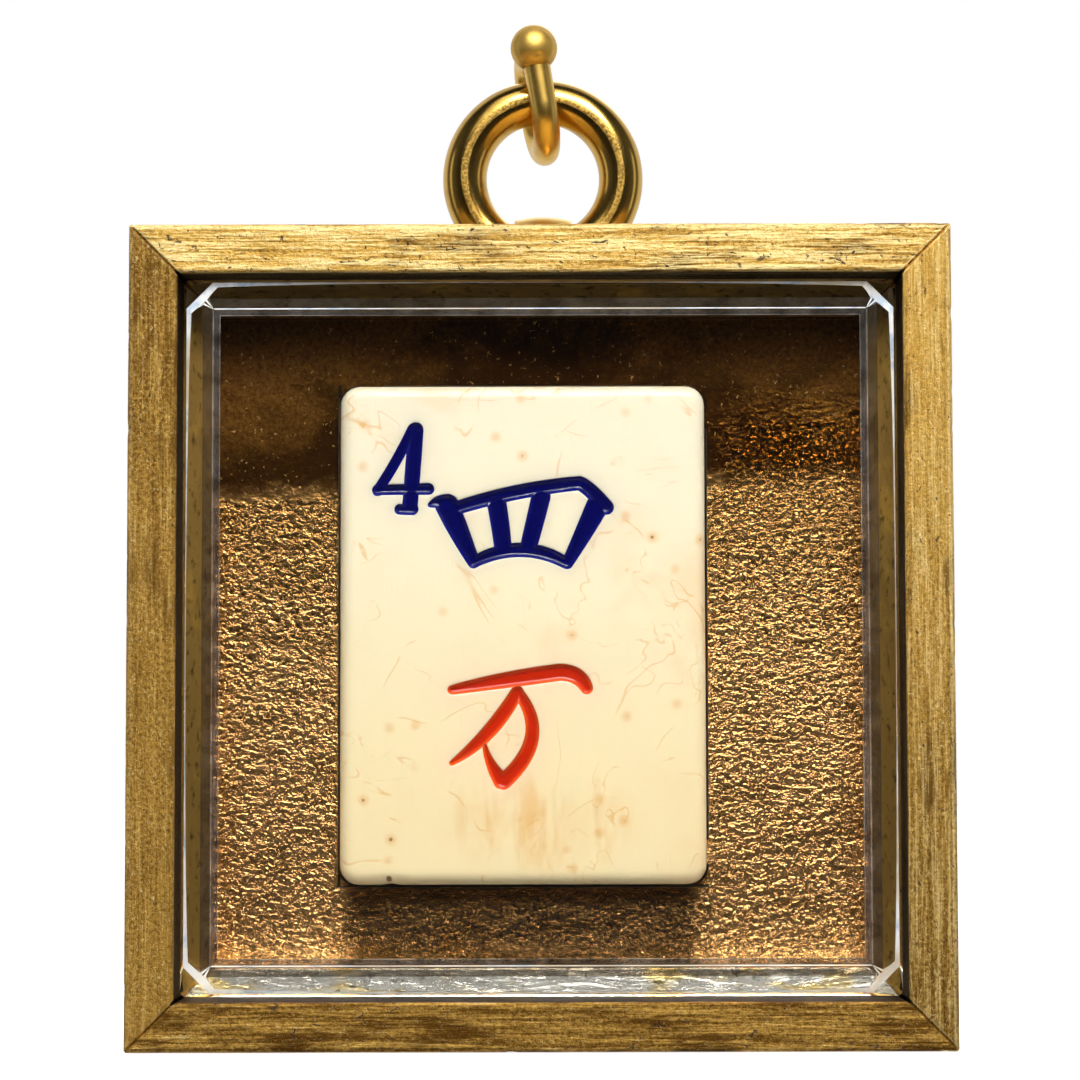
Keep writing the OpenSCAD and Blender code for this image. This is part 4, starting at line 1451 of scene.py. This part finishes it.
class FRAMEDTILE_OT_glass(Operator):
    """Make the bevelled pane"""

    bl_idname = "framed_tile.glass"
    bl_label = "Bevelled glass"

    def execute(self, context):
        crest = crest_finish("dim_glass", (0.08, 0.07, 0.06), (0.30, 0.28, 0.25), 0.86)
        line = crest_finish("grey_glass", (0.12, 0.11, 0.09), (0.44, 0.41, 0.37), 0.6)
        haze = crest_finish("hazy_glass", (0.11, 0.08, 0.05), (0.22, 0.18, 0.13), 0.89)
        pane = make_glass(glass_finish(), crest, painted_reflection_finish(), line, haze)
        pane.visible_shadow = False
        finish_piece(pane, "frame", "glass", "bevelled_glass")
        return {"FINISHED"}


class FRAMEDTILE_OT_leaf(Operator):
    """Make the creased bronze leaf"""

    bl_idname = "framed_tile.leaf"
    bl_label = "Bronze leaf"

    def execute(self, context):
        finish_piece(make_leaf(leaf_finish()), "frame", "bronze_leaf", "leaf_sheet")
        return {"FINISHED"}


class FRAMEDTILE_OT_tile(Operator):
    """Make the engraved bone face and its bamboo back"""

    bl_idname = "framed_tile.tile"
    bl_label = "Tile"

    def execute(self, context):
        finish_piece(make_tile_face(bone_finish()), "frame", "bone", "tile_face")
        bamboo = wood_finish("bamboo", linear("#D8B071"), linear("#A87B3F"))
        keep_node("tile_back", bamboo)
        return {"FINISHED"}


class FRAMEDTILE_OT_marks(Operator):
    """Fill the engraved marks with blue and red paint"""

    bl_idname = "framed_tile.marks"
    bl_label = "Painted marks"

    def execute(self, context):
        look = settings().tile
        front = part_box("tile_face")[0].y
        blue = enamel_finish("blue_enamel", tuple(look.blue_rim), tuple(look.blue))
        red = enamel_finish("red_enamel", tuple(look.red_rim), tuple(look.red))
        names = ("numeral_paint", "upper_mark_paint", "lower_mark_paint")
        for name, mark, material in zip(names, marks(), (blue, blue, red)):
            slot = "red_paint" if material is red else "blue_paint"
            finish_piece(make_paint(f"enamel_{name}", mark, material, front), "frame", slot, name)
        return {"FINISHED"}


# Shares of the solid wires' radius, so that the dressed wires stay inside the solids.
RING_SHARE, HOOK_SHARE = 0.9985, 0.998


class FRAMEDTILE_OT_ring(Operator):
    """Make the hanging ring"""

    bl_idname = "framed_tile.ring"
    bl_label = "Hanging ring"

    def execute(self, context):
        look = settings().hanger
        centre, outer = ring_centre()
        radius = look.ring_wire / 2
        reach = outer - radius
        count = 168
        points = [centre + reach * Vector((math.cos(t), 0, math.sin(t))) for t in round_turns(count)]
        edges = [(i, (i + 1) % count) for i in range(count)]
        front = centre.y - radius
        material = brass_finish("ring_brass", 0.12, front, 0.32)
        ring = grow_piece(
            "brass_ring", points, edges, wire_tree(), material, radius=radius * RING_SHARE, sides=56,
            seam_depth=front, seam_height=look.seam, wave=0.006 * MM,
        )
        finish_piece(ring, "ring", "brass", "hanging_ring")
        return {"FINISHED"}


# The groove round the ball and the pit in its front: depth in millimetres, place and width in radians.
GROOVE_DEPTH, GROOVE_ANGLE, GROOVE_WIDTH = 0.03, 0.98, 0.07
PIT_DEPTH, PIT_ANGLE, PIT_WIDTH = 0.06, 0.34, 0.085


class FRAMEDTILE_OT_hook(Operator):
    """Make the closed wire hook and its ball"""

    bl_idname = "framed_tile.hook"
    bl_label = "Hook and ball"

    def execute(self, context):
        look = settings().hanger
        place = hook_place()
        half, bend, top = look.hook_half, look.hook_bend, look.top_bend
        seat = look.ball / 2 - look.ball_socket
        neck, drop = look.ball_rise - seat, bend - look.ball_rise + seat
        path = [(-half, neck + drop * i / 12) for i in range(12)]
        path += arc(0, bend, -half, [math.pi * i / 40 for i in range(41)])
        rear = look.ball_rise - top
        path += [(half, bend + (rear - bend) * i / 8) for i in range(1, 8)]
        path += arc(half - top, rear, top, [math.pi / 2 * i / 16 for i in range(17)])
        start, stop = half - top, seat - half
        path += [(start + (stop - start) * i / 6, look.ball_rise) for i in range(1, 7)]
        points = [place @ Vector((0, y, z)) for y, z in path]
        edges = [(i, i + 1) for i in range(len(points) - 1)]
        tree = bpy.data.node_groups.get("bent_wire") or wire_tree()
        material = brass_finish("hook_brass", 0.26)
        wire = grow_piece(
            "brass_hook_wire", points, edges, tree, material, radius=look.hook_wire / 2 * HOOK_SHARE,
            sides=40, seam_depth=-1.0, seam_height=0.0, wave=0.02 * MM,
        )
        finish_piece(wire, "hook", "brass", "hook_wire")
        radius = look.ball / 2
        profile = []
        for i in range(1, 48):
            angle = math.pi * i / 48
            dent = GROOVE_DEPTH * MM * math.exp(-(((angle - GROOVE_ANGLE) / GROOVE_WIDTH) ** 2))
            profile.append(((radius - dent) * math.sin(angle), -(radius - dent) * math.cos(angle)))
        verts, faces = lathe(profile, 96)
        verts = [Vector(v) for v in verts]
        pit = Vector((0.02, -math.cos(PIT_ANGLE), -math.sin(PIT_ANGLE)))
        dents = [PIT_DEPTH * MM * math.exp(-((v.angle(pit) / PIT_WIDTH) ** 2)) for v in verts]
        verts = [v - v.normalized() * dent for v, dent in zip(verts, dents)]
        middle = place @ Vector((0, -half, look.ball_rise))
        turn = place.to_3x3() @ Matrix.Rotation(math.radians(8), 3, "X")
        verts = [middle + turn @ v for v in verts]
        ball = solid("brass_hook_ball", verts, faces, brass_finish("ball_brass", 0.42))
        below = place @ Vector((0, -half, look.ball_rise - 2 * radius))
        into = place @ Vector((0, -half, look.ball_rise - seat + 0.01 * MM))
        cut_away(ball, *round_bar(below, into, look.hook_wire / 2))
        behind = place @ Vector((0, -half + 2 * radius, look.ball_rise))
        into = place @ Vector((0, -half + seat - 0.01 * MM, look.ball_rise))
        cut_away(ball, *round_bar(behind, into, look.hook_wire / 2))
        finish_piece(ball, "hook", "brass", "hook_ball")
        return {"FINISHED"}


class FRAMEDTILE_OT_strap(Operator):
    """Make the folded strap that holds the ring, and its screw"""

    bl_idname = "framed_tile.strap"
    bl_label = "Strap and screw"

    def execute(self, context):
        look = settings().hanger
        lo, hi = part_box("hanger_strap")
        thick = look.strap_thickness
        outer = (hi.y - lo.y) / 2
        cy, cz = lo.y + outer, hi.z - outer
        middle_r = outer - thick / 2
        front_y, rear_y = lo.y + thick / 2, lo.y + 1.5 * thick + 0.02 * MM
        fold = look.strap_fold
        fold_y = rear_y + fold - cy
        fold_z = -math.sqrt((middle_r + fold) ** 2 - fold_y ** 2)
        path = [(front_y, lo.z + (cz - lo.z) * i / 10) for i in range(10)]
        last = math.atan2(fold_z, fold_y)
        sweep = (math.pi - last) % TAU
        path += arc(cy, cz, middle_r, [math.pi - sweep * i / 56 for i in range(57)])
        start = math.atan2(-fold_z, -fold_y)
        turns = [start + (math.pi - start) * i / 8 for i in range(1, 9)]
        path += arc(cy + fold_y, cz + fold_z, fold, turns)
        low = cz + fold_z
        path += [(rear_y, low + (lo.z - low) * i / 8) for i in range(1, 9)]
        flat = np.array(path)
        way = np.gradient(flat, axis=0)
        way /= np.linalg.norm(way, axis=1)[:, None]
        side = np.stack([-way[:, 1], way[:, 0]], 1)
        wide, soft = (hi.x - lo.x) / 2, 0.12 * MM
        x_mid = (lo.x + hi.x) / 2
        h, cut = thick / 2, 0.3 * soft
        section = [
            (-wide, -h + soft), (-wide + cut, -h + cut), (-wide + soft, -h),
            (wide - soft, -h), (wide - cut, -h + cut), (wide, -h + soft),
            (wide, h - soft), (wide - cut, h - cut),
            *((wide - soft - (wide - soft) * i / 8, h) for i in range(17)),
            (-wide + cut, h - cut), (-wide, h - soft),
        ]
        rows = []
        for p, s in zip(flat, side):
            crown = 0.24 * MM * min(1.0, max(0.0, (p[1] - cz) / middle_r))
            rows.append([
                (x_mid + x, *(p + s * (t - crown * (x / wide) ** 2 if t > 0 else t))) for x, t in section
            ])
        strap = solid("brass_strap", *loft(rows), brass_finish("strap_brass", 0.27), angle=50)
        screw_lo, screw_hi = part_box("strap_screw")
        sx, sz = (screw_lo.x + screw_hi.x) / 2, (screw_lo.z + screw_hi.z) / 2
        hole = round_bar((sx, screw_lo.y, sz), (sx, screw_hi.y, sz), 0.6 * MM)
        cut_away(strap, *hole)
        finish_piece(strap, "frame", "brass", "hanger_strap")
        head_r = (screw_hi.x - screw_lo.x) / 2
        head = screw_hi.y - (lo.y + 2 * thick)
        base = lo.y + 2 * thick + 0.03 * MM
        core = 0.42 * MM
        profile = [(0.05 * MM, screw_lo.y), (core * 0.6, screw_lo.y + 0.3 * MM)]
        turns = 9
        span_y = base - profile[-1][1]
        for i in range(turns):
            y = profile[1][1] + span_y * (i + 0.5) / turns
            profile += [(core, y - 0.12 * MM), (0.5 * MM, y), (core, y + 0.12 * MM)]
        rim, dome = base + 0.1 * MM, head - 0.13 * MM
        profile += [(0.5 * MM, base), (head_r * 0.97, base), (head_r, rim)]
        for i in range(1, 9):
            angle = math.pi / 2 * i / 9
            profile.append((head_r * math.cos(angle), rim + dome * math.sin(angle)))
        verts, faces = lathe(profile, 40)
        verts = [(x + sx, y, z + sz) for x, y, z in verts]
        screw = solid("brass_strap_screw", verts, faces, brass_finish("screw_brass", 0.3))
        slot, cut = 0.175 * MM, screw_hi.y - 0.28 * MM
        tilt = math.radians(24)
        cos, sin = math.cos(tilt), math.sin(tilt)
        ends = ((-2 * head_r, -slot), (2 * head_r, -slot), (2 * head_r, slot), (-2 * head_r, slot))
        corners = [(x * cos - z * sin, x * sin + z * cos) for x, z in ends]
        rows = [[(sx + x, y, sz + z) for x, z in corners] for y in (cut, screw_hi.y + MM)]
        cut_away(screw, *loft(rows))
        finish_piece(screw, "frame", "brass", "strap_screw")
        return {"FINISHED"}


class FRAMEDTILE_OT_back(Operator):
    """Make the back board and its nails, and give the hidden boards their finishes"""

    bl_idname = "framed_tile.back"
    bl_label = "Back board and nails"

    def execute(self, context):
        look = settings().back
        lo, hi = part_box("back_board")
        wood = wood_finish("back_wood", tuple(look.wood), tuple(look.wood_dark))
        middle = (lo + hi) / 2
        thick = hi.y - lo.y
        levels = [(0.0, 0.0), (0.0, thick - 0.25 * MM), (0.08 * MM, thick - 0.07 * MM), (0.26 * MM, thick)]
        rows = []
        for inset, down in levels:
            loop = rounded_loop(hi.x - lo.x - 2 * inset, hi.z - lo.z - 2 * inset, 0.3 * MM, 4, (30, 30))
            rows.append([(x + middle.x, lo.y + down, z + middle.z) for x, z in loop])
        board = solid("wood_back_board", *loft(rows), wood)
        steel = steel_finish()
        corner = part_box("bottom_rail")[1]
        across = corner.z - settings().rails.rebate / 2
        points = []
        for side in range(4):
            for sign in (-1, 1):
                x, z = quarter_turn(sign * look.nail_spread, across, corner.x, side)
                points.append((x, hi.y, z))
        nails = grow_piece(
            "steel_back_nails", points, [], nail_tree(), steel, shank_radius=look.nail / 2,
            shank_length=look.nail_length, head_radius=look.nail_head / 2,
            head_height=look.nail_head_height, seed=look.nail_seed,
        )
        finish_piece(nails, "frame", "steel", "back_nails")
        finish_piece(board, "frame", "pale_wood", "back_board")
        keep_node("mitre_nails", steel)
        keep_node("well_block", wood)
        keep_node("leaf_board", pulp_finish("grey_card", linear("#B7AB97")))
        keep_node("glue_pad", pulp_finish("dry_glue", linear("#D9C58C")))
        return {"FINISHED"}


class FRAMEDTILE_OT_stage(Operator):
    """Set the floor, the lamps, the surroundings and the camera"""

    bl_idname = "framed_tile.stage"
    bl_label = "Stage"

    def execute(self, context):
        look = settings().stage
        scene = context.scene
        f = Finish("white_floor")
        shade = f.noise(f.place(), 0.01, 2, 0.5)
        white = f.mix(shade, (0.86, 0.86, 0.86), (0.88, 0.88, 0.88))
        f.surface(
            Base_Color=white, Roughness=0.6, Emission_Color=(1, 1, 1), Emission_Strength=look.floor_glow
        )
        reach, sides = 2.0, 64
        edge = [(x, y, -0.05 * MM) for x, y in arc(0, 0, reach, round_turns(sides))]
        floor = solid("stage_floor", edge, [tuple(range(sides))], f.material)
        self.surroundings(scene, look)
        floor.visible_glossy = False
        floor.visible_transmission = False
        aim = Vector((0, 0, 0.028))
        self.lamp("key", look.key_place, aim, (0.14, 0.09), look.key_power)
        self.lamp("softbox", look.softbox_place, aim, (0.46, 0.36), look.softbox_power)
        self.lamp("left", (-0.55, -0.10, 0.10), aim, (0.12, 0.4), look.side_power)
        self.lamp("right", (0.55, -0.10, 0.10), aim, (0.12, 0.4), look.side_power)
        self.lamp("back", (0.1, 0.5, 0.4), aim, (0.4, 0.3), look.back_power)
        data = bpy.data.cameras.new("camera")
        data.sensor_width = 36
        data.lens = look.lens
        data.clip_start = 0.005
        data.clip_end = 50
        camera = link("camera", data)
        pitch, roll, yaw = look.camera_turn
        turn = Euler((0, 0, -yaw)).to_matrix() @ Euler((math.pi / 2 + pitch, 0, 0)).to_matrix()
        turn = turn @ Euler((0, 0, roll)).to_matrix()
        camera.matrix_world = Matrix.Translation(look.camera_place) @ turn.to_4x4()
        scene.camera = camera
        scene.view_settings.view_transform = "Standard"
        return {"FINISHED"}

    @staticmethod
    def lamp(name, place, aim, size, power):
        data = bpy.data.lights.new(name, "AREA")
        data.shape = "RECTANGLE"
        data.size, data.size_y = size
        data.energy = power
        obj = link(name, data)
        way = aim - Vector(place)
        obj.matrix_world = Matrix.Translation(place) @ way.to_track_quat("-Z", "Y").to_matrix().to_4x4()

    @staticmethod
    def surroundings(scene, look):
        """White all round for the eye. Reflections see white behind and a dark room in front."""
        world = bpy.data.worlds.new("studio")
        scene.world = world
        world.use_nodes = True
        s = Sheet(world.node_tree)
        x, y, z = s.parts(s.add("ShaderNodeTexCoord", out="Generated"))
        behind = y.step(0.05, 0.45)
        below = 1.0 - z.step(-0.75, -0.35)
        aside = x.size().step(0.5, 0.9) * look.side_glow
        level = (behind * look.surround).most(below * 0.25).most(aside) + look.room
        studio = s.add("ShaderNodeBackground", {"Color": (1, 1, 1, 1), "Strength": level})
        plain = s.add("ShaderNodeBackground", {"Color": (1, 1, 1, 1), "Strength": 1.0})
        eye = s.add("ShaderNodeLightPath", out="Is Camera Ray")
        both = s.add("ShaderNodeMixShader", {0: eye, 1: studio, 2: plain})
        s.add("ShaderNodeOutputWorld", {"Surface": both})


PIECE_STEPS = (
    FRAMEDTILE_OT_rails, FRAMEDTILE_OT_glass, FRAMEDTILE_OT_leaf, FRAMEDTILE_OT_tile, FRAMEDTILE_OT_marks,
    FRAMEDTILE_OT_ring, FRAMEDTILE_OT_hook, FRAMEDTILE_OT_strap, FRAMEDTILE_OT_back, FRAMEDTILE_OT_stage,
)


class FRAMEDTILE_PT_sidebar(Panel):
    """Lists the steps that dress the framed tile"""

    bl_idname = "FRAMEDTILE_PT_sidebar"
    bl_label = "Framed Tile"
    bl_space_type = "VIEW_3D"
    bl_region_type = "UI"
    bl_category = "Framed Tile"

    def draw(self, context):
        for step in PIECE_STEPS:
            self.layout.operator(step.bl_idname)
        for group in ("rails", "glass", "tile", "hanger", "back", "stage"):
            box = self.layout.box()
            box.label(text=group.capitalize())
            values = getattr(context.scene.framed_tile, group)
            for key in values.bl_rna.properties.keys():
                if key not in ("rna_type", "name"):
                    box.prop(values, key)


CLASSES = (
    RailSettings, GlassSettings, TileSettings, HangerSettings, BackSettings, StageSettings,
    FramedTileSettings, *PIECE_STEPS, FRAMEDTILE_PT_sidebar,
)


def register():
    for cls in CLASSES:
        bpy.utils.register_class(cls)
    bpy.types.Scene.framed_tile = PointerProperty(type=FramedTileSettings)


def unregister():
    del bpy.types.Scene.framed_tile
    for cls in reversed(CLASSES):
        bpy.utils.unregister_class(cls)


def main():
    register()
    bpy.ops.framed_tile.rails()
    bpy.ops.framed_tile.glass()
    bpy.ops.framed_tile.leaf()
    bpy.ops.framed_tile.tile()
    bpy.ops.framed_tile.marks()
    bpy.ops.framed_tile.ring()
    bpy.ops.framed_tile.hook()
    bpy.ops.framed_tile.strap()
    bpy.ops.framed_tile.back()
    bpy.ops.framed_tile.stage()


if __name__ == "__main__":
    main()
